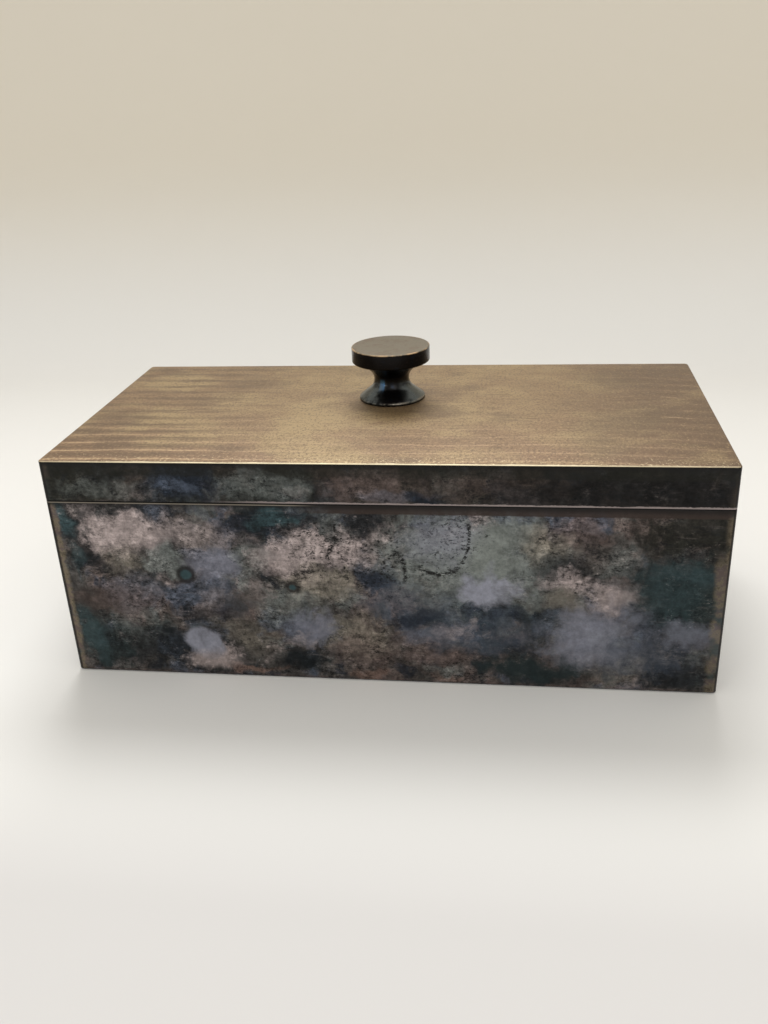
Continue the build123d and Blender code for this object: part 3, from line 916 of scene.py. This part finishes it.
@dataclass(frozen=True)
class TurnedKnobBrass(Finish):
    """Turned brass under a blue-black patina, its flat top rubbed tan, its rims bright with wear and painted
    highlights, and painted light on its neck and foot.

    Attributes:
        axis: The knob's axis on the lid, in millimetres.
        foot: The height of its foot, in millimetres.
        top: The height of its top, in millimetres.
        disc_radius: The disc's radius, in millimetres.
        foot_radius: The foot's radius, in millimetres.
    """

    axis: tuple[float, float]
    foot: float
    top: float
    disc_radius: float
    foot_radius: float

    def surface(self, nodes: Nodes) -> dict[str, Any]:
        """Lay the patina on the neck, the worn tan on the top, the rims' wear and painted highlights, and the
        painted glint, reflections and shade.

        Args:
            nodes: The material's nodes.

        Returns:
            What the shader's inputs take, by their names.
        """
        place = nodes.place()
        own = nodes.add("VectorMath", place, (*self.axis, self.foot), operation="SUBTRACT")[0]
        height = nodes.add("SeparateXYZ", own)["Z"]
        flat = nodes.add("VectorMath", own, (1.0, 1.0, 0.0), operation="MULTIPLY")[0]
        radius = nodes.add("VectorMath", flat, operation="LENGTH")["Value"]
        outward = nodes.add("VectorMath", flat, operation="NORMALIZE")[0]
        facing = nodes.add("VectorMath", outward, (-0.42, -0.91, 0.0), operation="DOT_PRODUCT")["Value"]
        across = nodes.add("VectorMath", outward, (0.99, 0.135, 0.0), operation="DOT_PRODUCT")["Value"]
        sideways = nodes.add("Math", across, operation="ABSOLUTE")[0]
        mottle = nodes.add("TexNoise", own, Scale=1 / 4.5, Detail=5.0, Roughness=0.65)[0]
        speckle = nodes.add("TexNoise", own, Scale=1 / 0.7, Detail=3.0, Roughness=0.8)[0]
        uneven = nodes.add("Math", mottle, 1.0, -0.5, operation="MULTIPLY_ADD")[0]
        ragged = nodes.add("Math", radius, uneven, operation="ADD")[0]
        rise = self.top - self.foot
        on_top = nodes.mask((height, rise - 0.35, rise - 0.1))
        disc, foot = self.disc_radius, self.foot_radius
        # The disc's bright rim is finger wear and a painted highlight both.
        rim = nodes.mask((ragged, disc - 0.5, disc - 0.2), (height, rise - 0.5, rise - 0.3))
        low_on_foot = nodes.mask((height, 0.45, 0.8), (height, 2.0, 1.3))
        # Painted highlight: a pale line round the foot's rim.
        foot_rim_highlight = nodes.mask((ragged, foot - 0.6, foot - 0.1), low_on_foot)
        # Painted glint: a narrow blue reflection on the front left of the neck.
        glint_band_on_neck = nodes.mask((height, 3.6, 5.4), (height, 9.2, 7.6))
        # Painted reflection: grey-green on the foot's left and right, where its dark metal mirrors the room.
        reflected_green = nodes.mask((height, 10.0, 4.5, 0.9), (sideways, 0.25, 0.65, 0.75), (mottle, 0.34, 0.54))
        colour = nodes.paint(
            Hue.SOOT,
            (Hue.NAVY, (mottle, 0.56, 0.70, 0.7)),
            (Hue.NECK_GLINT_BLUE, glint_band_on_neck, (facing, 0.984, 0.999, 0.9)),
            (Hue.GREY_GREEN, reflected_green),
            # Painted shade: the foot darkens where it meets the lid.
            (Hue.SOOT, (height, 0.45, 0.3)),
            (Hue.ROSE_BROWN, (speckle, 0.60, 0.72, 0.3)),
            (Hue.KNOB_TAN, on_top),
            (Hue.LID_UMBER, on_top, (mottle, 0.46, 0.64, 0.6)),
            (Hue.UMBER, on_top, (speckle, 0.48, 0.30, 0.5)),
            (Hue.BEIGE, foot_rim_highlight, (mottle, 0.42, 0.60, 0.8)),
            (Hue.LID_GLINT, rim, (mottle, 0.36, 0.54, 0.8)),
        )
        return {
            "Base Color": colour,
            "Metallic": nodes.add("MapRange", on_top, None, None, 0.9, 0.6)[0],
            "Roughness": nodes.add("MapRange", on_top, None, None, 0.24, 0.42)[0],
            "Normal": nodes.add("Bump", Height=mottle, Strength=0.2, Distance=0.06 * MM)[0],
        }


@dataclass(frozen=True)
class BrushedMetal(Finish):
    """Metal brushed along the box under a little tarnish, with fine lines and a soft long glint.

    Attributes:
        hue: The clean metal's colour.
        tarnish: The colour that it dulls to.
        tarnish_strength: How far it has dulled.
        roughness: How broad its glints are.
    """

    hue: Hue
    tarnish: Hue
    tarnish_strength: float
    roughness: float

    def surface(self, nodes: Nodes) -> dict[str, Any]:
        """Lay tarnish and brush lines over the clean metal.

        Args:
            nodes: The material's nodes.

        Returns:
            What the shader's inputs take, by their names.
        """
        place = nodes.place()
        clouds = nodes.add("TexNoise", place, Scale=1 / 11.0, Detail=5.0, Roughness=0.65)[0]
        lines = nodes.add("Mapping", place, Scale=(0.12, 4.0, 4.0))[0]
        brush = nodes.add("TexNoise", lines, Scale=1.0, Detail=3.0)[0]
        dulled = (self.tarnish, (clouds, 0.42, 0.70, self.tarnish_strength))
        scored = (self.tarnish, (brush, 0.55, 0.75, 0.3))
        spread = (self.roughness - 0.06, self.roughness + 0.08)
        return {
            "Base Color": nodes.paint(self.hue, dulled, scored),
            "Metallic": 1.0,
            "Roughness": nodes.add("MapRange", brush, 0.3, 0.7, *spread)[0],
            "Normal": nodes.add("Bump", Height=brush, Strength=0.15, Distance=0.03 * MM)[0],
        }


@dataclass(frozen=True)
class PlanedCedar(Finish):
    """Spanish cedar, planed and left bare: straight pinkish grain, short dark pores and no gloss.

    Attributes:
        grain: Which way the board's grain runs.
        shift: Moves the pattern, so that no two boards match.
    """

    grain: Grain
    shift: float = 0.0

    def surface(self, nodes: Nodes) -> dict[str, Any]:
        """Draw year rings, fibres and pores along the grain.

        Args:
            nodes: The material's nodes.

        Returns:
            What the shader's inputs take, by their names.
        """
        own = nodes.add("Mapping", nodes.place(), (self.shift,) * 3, (0.0, 0.0, self.grain.value))[0]
        bands = nodes.add("Mapping", nodes.pushed(own, 70.0, 3.0), Scale=(0.012, 0.28, 0.28))[0]
        rings = nodes.add("TexNoise", bands, Scale=1.0, Detail=5.0, Roughness=0.6)[0]
        fibred = nodes.add("Mapping", own, Scale=(0.09, 2.4, 2.4))[0]
        fibre = nodes.add("TexNoise", fibred, Scale=1.0, Detail=3.0, Roughness=0.7)[0]
        pored = nodes.add("Mapping", own, Scale=(0.35, 3.2, 3.2))[0]
        pores = nodes.add("TexNoise", pored, Scale=1.0, Detail=1.0)[0]
        colour = nodes.paint(
            Hue.CEDAR,
            (Hue.CEDAR_DARK, (rings, 0.50, 0.68, 0.75)),
            (Hue.CEDAR_PALE, (rings, 0.46, 0.30, 0.7)),
            (Hue.CEDAR_DARK, (fibre, 0.54, 0.72, 0.4)),
            (Hue.CEDAR_DARK, (pores, 0.66, 0.74, 0.6)),
        )
        return {
            "Base Color": colour,
            "Roughness": nodes.add("MapRange", rings, 0.3, 0.7, 0.62, 0.74)[0],
            "Normal": nodes.add("Bump", Height=fibre, Strength=0.3, Distance=0.12 * MM)[0],
        }


@dataclass(frozen=True)
class MattedWool(Finish):
    """Wool matted into cloth or block: short fibres in every direction, soft at the edge of sight.

    Attributes:
        hue: The wool's colour.
        high_light: The colour of the fibres that stand up.
        fibre_mm: The spacing of its fibres, drawn coarse enough to show.
    """

    hue: Hue
    high_light: Hue
    fibre_mm: float

    def surface(self, nodes: Nodes) -> dict[str, Any]:
        """Draw fibres and tufts.

        Args:
            nodes: The material's nodes.

        Returns:
            What the shader's inputs take, by their names.
        """
        place = nodes.place()
        tangled = nodes.pushed(place, 3 * self.fibre_mm, 2 * self.fibre_mm)
        fibres = nodes.add("TexNoise", tangled, Scale=1 / self.fibre_mm, Detail=4.0, Roughness=0.8)[0]
        tufts = nodes.add("TexNoise", place, Scale=1 / 6.0, Detail=3.0)[0]
        raised = (self.high_light, (fibres, 0.45, 0.65, 0.7))
        tufted = (self.high_light, (tufts, 0.50, 0.66, 0.3))
        return {
            "Base Color": nodes.paint(self.hue, raised, tufted),
            "Roughness": 0.95,
            "Sheen Weight": 0.25,
            "Normal": nodes.add("Bump", Height=fibres, Strength=0.7, Distance=0.25 * MM)[0],
        }


@dataclass(frozen=True)
class MattCard(Finish):
    """Matt white card, cream where it stands up as a wall and a little greyer near the viewer."""

    def surface(self, nodes: Nodes) -> dict[str, Any]:
        """Tint the near floor and the wall.

        Args:
            nodes: The material's nodes.

        Returns:
            What the shader's inputs take, by their names.
        """
        _, depth, height = nodes.add("SeparateXYZ", nodes.place())
        near = (Hue.FLOOR_NEAR, (depth, -110.0, -165.0))
        wall = (Hue.CREAM_WALL, (height, 0.0, 160.0))
        return {"Base Color": nodes.paint(Hue.FLOOR_WHITE, near, wall), "Roughness": 0.85}


def finished_piece(
    name: str, body: str, shape: bmesh.types.BMesh, materials: list[bpy.types.Material]
) -> bpy.types.Object:
    """Turn a bmesh into a piece that rides on a body.

    Args:
        name: The piece's name.
        body: The body that it rides on.
        shape: The mesh, in metres at its place in the row frame. It is freed.
        materials: Its materials, in the order of its faces' indices.

    Returns:
        The piece.
    """
    piece = placed(name, shape, materials)
    piece.data.set_sharp_from_angle(angle=SHARP_ANGLE)
    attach(piece, body)
    log.info("%s: %d faces on %s", name, len(piece.data.polygons), body)
    return piece


def placed(name: str, shape: bmesh.types.BMesh, materials: list[bpy.types.Material]) -> bpy.types.Object:
    """Turn a bmesh into a smooth object that stands in the scene.

    Args:
        name: The object's name.
        shape: The mesh. It is freed.
        materials: Its materials, in the order of its faces' indices.

    Returns:
        The object.
    """
    bmesh.ops.recalc_face_normals(shape, faces=shape.faces[:])
    mesh = bpy.data.meshes.new(name)
    shape.to_mesh(mesh)
    shape.free()
    for material in materials:
        mesh.materials.append(material)
    mesh.shade_smooth()
    item = bpy.data.objects.new(name, mesh)
    bpy.context.collection.objects.link(item)
    return item


def dress(finish: Finish, *nodes: str) -> None:
    """Give CAD nodes a finish, on the shapes that they have.

    Args:
        finish: The finish that they all take.
        nodes: The nodes' names.
    """
    material = finish.material()
    for node in nodes:
        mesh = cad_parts[node].data
        mesh.materials.clear()
        mesh.materials.append(material)
        log.info("%s: dressed in %s", node, material.name)


def round_off(
    shape: bmesh.types.BMesh, parts: list[Any], radius: float, segments: int, kind: Part = Part.EDGES
) -> None:
    """Round some edges of a mesh, or some corners of an outline.

    Args:
        shape: The mesh.
        parts: The edges or corners.
        radius: How far from each the rounding starts.
        segments: How many facets round each.
        kind: Which of the two they are.
    """
    bmesh.ops.bevel(
        shape,
        geom=parts,
        offset=radius,
        offset_type="OFFSET",
        segments=segments,
        profile=0.5,
        affect=kind.value,
        clamp_overlap=True,
        material=-1,
    )


def round_rim(shape: bmesh.types.BMesh, height: float, radius: float, segments: int = 4) -> None:
    """Round the edges round a level face, where it meets upright faces.

    Args:
        shape: The mesh.
        height: The face's height.
        radius: The rounding's radius.
        segments: How many facets round each edge.
    """
    shape.normal_update()
    level = [e for e in shape.edges if all(abs(v.co.z - height) < NEAR for v in e.verts)]
    rim = [e for e in level if any(abs(f.normal.z) < HALF_UP for f in e.link_faces)]
    round_off(shape, rim, radius, segments)


def folded_block(low: Vector, high: Vector, fold: float, segments: int = 8) -> bmesh.types.BMesh:
    """Make a block whose upright edges are rounded, as sheet is where it is folded.

    Args:
        low: Its lowest corner.
        high: Its highest corner.
        fold: The radius of its upright edges.
        segments: How many facets round each.

    Returns:
        The block.
    """
    shape = bmesh.new()
    bmesh.ops.create_cube(shape, size=1.0)
    bmesh.ops.scale(shape, vec=high - low, verts=shape.verts[:])
    bmesh.ops.translate(shape, vec=(low + high) / 2, verts=shape.verts[:])
    upright = [e for e in shape.edges if abs(e.verts[0].co.z - e.verts[1].co.z) > (high.z - low.z) / 2]
    round_off(shape, upright, fold, segments)
    return shape


@dataclass(frozen=True)
class FoldedSheet:
    """The brass sheet of the case and the lid, and how it is worked.

    Attributes:
        sheet: Its thickness.
        fold: The outside radius of its folds.
        inner_fold: Their inside radius.
        rim_round: The rounding of a filed rim.
    """

    sheet: float = 1.2 * MM
    fold: float = 1.6 * MM
    inner_fold: float = 0.4 * MM
    rim_round: float = 0.3 * MM

    def band(self, low: Vector, high: Vector, filed: Iterable[float]) -> bmesh.types.BMesh:
        """Make a band of four walls folded from one strip, open above and below.

        Args:
            low: Its lowest corner.
            high: Its highest corner.
            filed: The heights of the rims whose outer edge is rounded.

        Returns:
            The band.
        """
        shape = folded_block(low, high, self.fold)
        for height in filed:
            round_rim(shape, height, self.rim_round)
        step = Vector((self.sheet, self.sheet, 0.0))
        inside = bpy.data.meshes.new("inside")
        core = folded_block(low + step, high - step, self.inner_fold)
        core.to_mesh(inside)
        core.free()
        shape.from_mesh(inside)
        bpy.data.meshes.remove(inside)
        for height in (low.z, high.z):
            caps = [f for f in shape.faces if all(abs(v.co.z - height) < NEAR for v in f.verts)]
            bmesh.ops.delete(shape, geom=caps, context="FACES_ONLY")
            level = [e for e in shape.edges if all(abs(v.co.z - height) < NEAR for v in e.verts)]
            bmesh.ops.triangle_fill(shape, edges=[e for e in level if e.is_boundary], use_beauty=True)
        return shape


@dataclass
class Case:
    """The box: folded walls, base plate, baize and cedar boards.

    Attributes:
        brass: The sheet that its walls are folded from.
        felt_corner: The radius of the baize's corners.
        felt_round: The rounding of its cut edge.
        low: The walls' lowest corner.
        high: Their highest corner.
    """

    brass: FoldedSheet = FoldedSheet()
    felt_corner: float = 2.0 * MM
    felt_round: float = 0.4 * MM
    low: Vector = field(default_factory=lambda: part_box("case_wall_band")[0])
    high: Vector = field(default_factory=lambda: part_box("case_wall_band")[1])

    def build(self) -> None:
        """Build the case's meshes and dress its nodes."""
        self.walls()
        self.baize()
        dress(BrushedMetal("sheet_brass_soldered", Hue.BRASS, Hue.TARNISH, 0.6, 0.36), "base_plate")
        self.boards()

    def walls(self) -> None:
        """Fold the band of four walls, with rims rounded by filing."""
        finish = PatinatedBrass(
            "brass_patinated_walls",
            self.high.x / MM,
            self.high.y / MM,
            self.low.z / MM,
            self.high.z / MM,
            ground=Hue.BARK,
            low_rim=0.4,
            low_hue=Hue.ROSE_BROWN,
            # The pale upper rim line, wear and painted highlight both, is kept to the left.
            high_rim=0.9,
            high_run=(-18.0, -30.0),
            # The band is a painted shadow of the lid's overhang.
            band=3.4,
            stains=FRONT_STAINS,
            blooms=FRONT_BLOOMS,
            spots=FRONT_SPOTS,
            flecks=FRONT_FLECKS,
            cracks=FRONT_CRACKS,
        )
        shape = self.brass.band(self.low, self.high, (self.low.z, self.high.z))
        piece = finished_piece("case_walls", "case", shape, [finish.material()])
        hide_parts("case_wall_band")

    def baize(self) -> None:
        """Cut the baize sheet that the box stands on, its edges softened."""
        low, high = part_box("base_felt")
        shape = folded_block(low, high, self.felt_corner)
        for height in (low.z, high.z):
            round_rim(shape, height, self.felt_round, 3)
        finish = MattedWool("baize_green", Hue.BAIZE, Hue.BAIZE_PALE, 0.5)
        piece = finished_piece("baize_sheet", "case", shape, [finish.material()])
        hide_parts("base_felt")

    def boards(self) -> None:
        """Dress the cedar boards, each with grain of its own along its length."""
        boards = (
            ("floor", Grain.LENGTHWISE, 11.0),
            ("front", Grain.LENGTHWISE, 57.0),
            ("back", Grain.LENGTHWISE, 93.0),
            ("left", Grain.CROSSWISE, 131.0),
            ("right", Grain.CROSSWISE, 172.0),
        )
        for side, grain, shift in boards:
            dress(PlanedCedar(f"cedar_{side}", grain, shift), f"lining_{side}")


@dataclass
class Lid:
    """The lift-off lid: top plate, skirt and cedar lining.

    Attributes:
        brass: The sheet that its skirt is folded from.
        plate_round: The rounding of the top plate's upper edge.
        top_tilt: How far up a face of the plate must look to take the top's finish, from 0 to 1.
        skirt_low: The skirt's lowest corner.
        skirt_high: Its highest corner.
        plate_low: The top plate's lowest corner.
        plate_high: Its highest corner.
    """

    brass: FoldedSheet = FoldedSheet()
    plate_round: float = 0.35 * MM
    top_tilt: float = 0.35
    skirt_low: Vector = field(default_factory=lambda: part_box("lid_skirt_band")[0])
    skirt_high: Vector = field(default_factory=lambda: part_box("lid_skirt_band")[1])
    plate_low: Vector = field(default_factory=lambda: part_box("lid_top_plate")[0])
    plate_high: Vector = field(default_factory=lambda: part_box("lid_top_plate")[1])

    def build(self) -> None:
        """Build the lid's meshes and dress its nodes."""
        finish = PatinatedBrass(
            "brass_patinated_lid_skirt",
            self.plate_high.x / MM,
            self.plate_high.y / MM,
            self.skirt_low.z / MM,
            self.plate_high.z / MM,
            ground=Hue.OLIVE_BLACK,
            cloud_strength=0.3,
            stains=SKIRT_STAINS,
            low_rim=0.0,
            lip=0.75,
            scuffs=0.3,
            high_rim=0.0,
            side_wear=0.15,
            top_shade=0.5,
        )
        dark_brass = finish.material()
        self.skirt(dark_brass)
        self.plate(dark_brass)
        self.lining()

    def skirt(self, dark_brass: bpy.types.Material) -> None:
        """Fold the skirt under the plate.

        Args:
            dark_brass: The patinated finish of its walls.
        """
        shape = self.brass.band(self.skirt_low, self.skirt_high, [self.skirt_low.z])
        piece = finished_piece("lid_skirt", "lid", shape, [dark_brass])
        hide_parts("lid_skirt_band")

    def plate(self, dark_brass: bpy.types.Material) -> None:
        """Cut the top plate, its upper edge rounded and its sides dark as the skirt.

        Args:
            dark_brass: The finish of its narrow sides.
        """
        finish = AgedLidBrass("brass_aged_lid_top", self.plate_high.x / MM, self.plate_high.y / MM)
        shape = folded_block(self.plate_low, self.plate_high, self.brass.fold)
        round_rim(shape, self.plate_high.z, self.plate_round)
        shape.normal_update()
        for face in shape.faces:
            face.material_index = 0 if face.normal.z > self.top_tilt else 1
        piece = finished_piece("lid_plate", "lid", shape, [finish.material(), dark_brass])
        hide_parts("lid_top_plate")

    def lining(self) -> None:
        """Dress the panel and strips in cedar, and the knob's fastenings in zinc."""
        dress(PlanedCedar("cedar_lid_panel", Grain.LENGTHWISE, 211.0), "lid_lining_panel")
        along = PlanedCedar("cedar_lid_long_strips", Grain.LENGTHWISE, 254.0)
        across = PlanedCedar("cedar_lid_short_strips", Grain.CROSSWISE, 287.0)
        dress(along, "lid_strip_front", "lid_strip_back")
        dress(across, "lid_strip_left", "lid_strip_right")
        zinc = BrushedMetal("steel_zinc_plated", Hue.ZINC, Hue.SLATE, 0.35, 0.32)
        dress(zinc, "knob_screw", "knob_washer")


@dataclass
class Knob:
    """The turned knob: a sloping foot, a hollow neck and a flat disc.

    Attributes:
        foot_radius: The foot's radius.
        foot_edge: The upright edge of the foot.
        foot_rounds: The rounding of that edge below and above.
        waist_corner: Radius and height at which the foot's slope and the flare would meet without a hollow.
        waist_run: How far from that corner the hollow's curve starts.
        flare_radius: The radius at which the flare meets the disc's underside.
        disc_radius: The disc's radius.
        disc_thickness: The disc's thickness.
        disc_rounds: The rounding of the disc's edge below and above.
        segments: How many facets round each corner of the outline.
        steps: How many facets run round the knob.
        low: The lowest corner of its box.
        high: Its highest corner.
    """

    foot_radius: float = 12.5 * MM
    foot_edge: float = 1.0 * MM
    foot_rounds: tuple[float, float] = (0.2 * MM, 0.25 * MM)
    waist_corner: tuple[float, float] = (4.27 * MM, 7.36 * MM)
    waist_run: float = 5.37 * MM
    flare_radius: float = 11.3 * MM
    disc_radius: float = 14.7 * MM
    disc_thickness: float = 5.8 * MM
    disc_rounds: tuple[float, float] = (0.8 * MM, 0.35 * MM)
    segments: int = 12
    steps: int = 128
    low: Vector = field(default_factory=lambda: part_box("knob")[0])
    high: Vector = field(default_factory=lambda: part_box("knob")[1])

    def build(self) -> None:
        """Turn the knob and dress it."""
        middle = (self.low + self.high) / 2
        rise = self.high.z - self.low.z
        disc_foot = rise - self.disc_thickness
        outline = [
            (0.0, 0.0, 0.0),
            (self.foot_radius, 0.0, self.foot_rounds[0]),
            (self.foot_radius, self.foot_edge, self.foot_rounds[1]),
            (*self.waist_corner, self.waist_run),
            (self.flare_radius, disc_foot, 0.0),
            (self.disc_radius, disc_foot, self.disc_rounds[0]),
            (self.disc_radius, rise, self.disc_rounds[1]),
            (0.0, rise, 0.0),
        ]
        shape = bmesh.new()
        corners = [shape.verts.new((middle.x + r, middle.y, self.low.z + h)) for r, h, _ in outline]
        for first, second in zip(corners, corners[1:]):
            shape.edges.new((first, second))
        for corner, (_, _, rounding) in zip(corners, outline):
            if rounding:
                round_off(shape, [corner], rounding, self.segments, Part.CORNERS)
        bmesh.ops.spin(
            shape,
            geom=shape.verts[:] + shape.edges[:],
            cent=(middle.x, middle.y, 0.0),
            axis=(0, 0, 1),
            angle=math.tau,
            steps=self.steps,
            use_merge=True,
        )
        bmesh.ops.remove_doubles(shape, verts=shape.verts[:], dist=0.1 * NEAR)
        finish = TurnedKnobBrass(
            "brass_turned_knob",
            (middle.x / MM, middle.y / MM),
            self.low.z / MM,
            self.high.z / MM,
            self.disc_radius / MM,
            self.foot_radius / MM,
        )
        piece = finished_piece("turned_knob", "lid", shape, [finish.material()])
        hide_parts("knob")


@dataclass
class Humidifier:
    """The humidifier under the lid: tray, slotted cover, absorbent block and spring clips.

    Attributes:
        block_corner: The radius of the block's upright corners.
        block_round: The rounding of its pressed edges.
    """

    block_corner: float = 3.0 * MM
    block_round: float = 0.9 * MM

    def build(self) -> None:
        """Build the block and dress the brass round it."""
        brass = BrushedMetal("sheet_brass_lacquered", Hue.BRASS, Hue.TARNISH, 0.35, 0.30)
        dress(brass, "humidifier_tray", "humidifier_cover", "clip_left", "clip_right", "clip_screws")
        low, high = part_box("humidifier_pad")
        shape = folded_block(low, high, self.block_corner)
        for height in (low.z, high.z):
            round_rim(shape, height, self.block_round)
        finish = MattedWool("wool_felt_pressed", Hue.FELT, Hue.FELT_SHADE, 0.7)
        piece = finished_piece("absorbent_block", "humidifier", shape, [finish.material()])
        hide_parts("humidifier_pad")


@dataclass
class Studio:
    """The pale sweep that the box stands on, its soft light and the camera.

    Attributes:
        camera_place: The camera's place.
        camera_turn: Its turn, in radians about X, Y and Z.
        lens: Its focal length on a 36 mm sensor.
        floor_half: Half the sweep's width, and how far it reaches towards the viewer.
        wall_distance: How far behind the box's middle the wall stands.
        wall_height: The wall's height.
        sweep_radius: The radius of the bend between floor and wall.
        sweep_segments: How many facets round that bend.
        bend_room: How far before and after it the outline has a corner.
        lamp_target: The place that the lamps point at.
        sky_strength: The brightness of the even sky.
    """

    camera_place: tuple[float, float, float] = (46.306 * MM, -340.290 * MM, 197.965 * MM)
    camera_turn: tuple[float, float, float] = (1.14078, 0.04388, 0.13093)
    lens: float = 34.039
    floor_half: float = 1.6
    wall_distance: float = 0.42
    wall_height: float = 0.5
    sweep_radius: float = 0.12
    sweep_segments: int = 48
    bend_room: float = 10 * MM
    lamp_target: tuple[float, float, float] = (0.0, 0.0, 0.05)
    sky_strength: float = 0.86

    def build(self) -> None:
        """Set the stage, the light and the camera."""
        self.sweep()
        self.light()
        self.camera()

    def sweep(self) -> None:
        """Bend a sheet from the floor up into the wall behind the box."""
        shape = bmesh.new()
        near_bend = self.sweep_radius + self.bend_room
        profile = [
            (-self.floor_half, 0.0),
            (self.wall_distance - near_bend, 0.0),
            (self.wall_distance, 0.0),
            (self.wall_distance, near_bend),
            (self.wall_distance, self.wall_height),
        ]
        corners = [shape.verts.new((-self.floor_half, y, z)) for y, z in profile]
        for first, second in zip(corners, corners[1:]):
            shape.edges.new((first, second))
        round_off(shape, [corners[2]], self.sweep_radius, self.sweep_segments, Part.CORNERS)
        swept = bmesh.ops.extrude_edge_only(shape, edges=shape.edges[:])
        moved = [v for v in swept["geom"] if isinstance(v, bmesh.types.BMVert)]
        bmesh.ops.translate(shape, vec=(2 * self.floor_half, 0.0, 0.0), verts=moved)
        sweep = placed("studio_sweep", shape, [MattCard("card_matt_white").material()])

    def light(self) -> None:
        """Hang a soft lamp high behind the wall, two weak ones in front, and an even sky."""
        lamps = (
            ("window_behind", (-0.08, 0.62, 0.98), 0.7, 10.0),
            ("room_in_front", (0.35, -1.1, 0.75), 0.9, 3.6),
            ("pane_at_left", (-0.75, -1.15, 0.42), 0.3, 1.2),
        )
        for name, place, size, watts in lamps:
            lamp = bpy.data.lights.new(name, "AREA")
            lamp.shape = "DISK"
            lamp.size = size
            lamp.energy = watts
            holder = bpy.data.objects.new(name, lamp)
            holder.location = place
            aim = Vector(self.lamp_target) - Vector(place)
            holder.rotation_euler = aim.to_track_quat("-Z", "Y").to_euler()
            bpy.context.collection.objects.link(holder)
        world = bpy.data.worlds.new("room")
        world.use_nodes = True
        nodes = Nodes(world.node_tree)
        sky = nodes.add("Background", Hue.PAPER_WHITE, self.sky_strength)
        nodes.add("OutputWorld", Surface=sky[0])
        bpy.context.scene.world = world

    def camera(self) -> None:
        """Stand the camera where the photograph was taken."""
        lens = bpy.data.cameras.new("camera")
        lens.lens = self.lens
        lens.sensor_width = 36.0
        lens.clip_start = 10 * MM
        holder = bpy.data.objects.new("camera", lens)
        holder.location = self.camera_place
        holder.rotation_euler = self.camera_turn
        bpy.context.collection.objects.link(holder)
        bpy.context.scene.camera = holder
        bpy.context.scene.view_settings.view_transform = "Standard"


def main() -> None:
    """Build and dress the humidor, then its studio."""
    logging.basicConfig(level=logging.INFO, format="%(name)s: %(message)s")
    for assembly in (Case(), Lid(), Knob(), Humidifier(), Studio()):
        assembly.build()
        log.info("%s built", type(assembly).__name__)


if __name__ == "__main__":
    main()
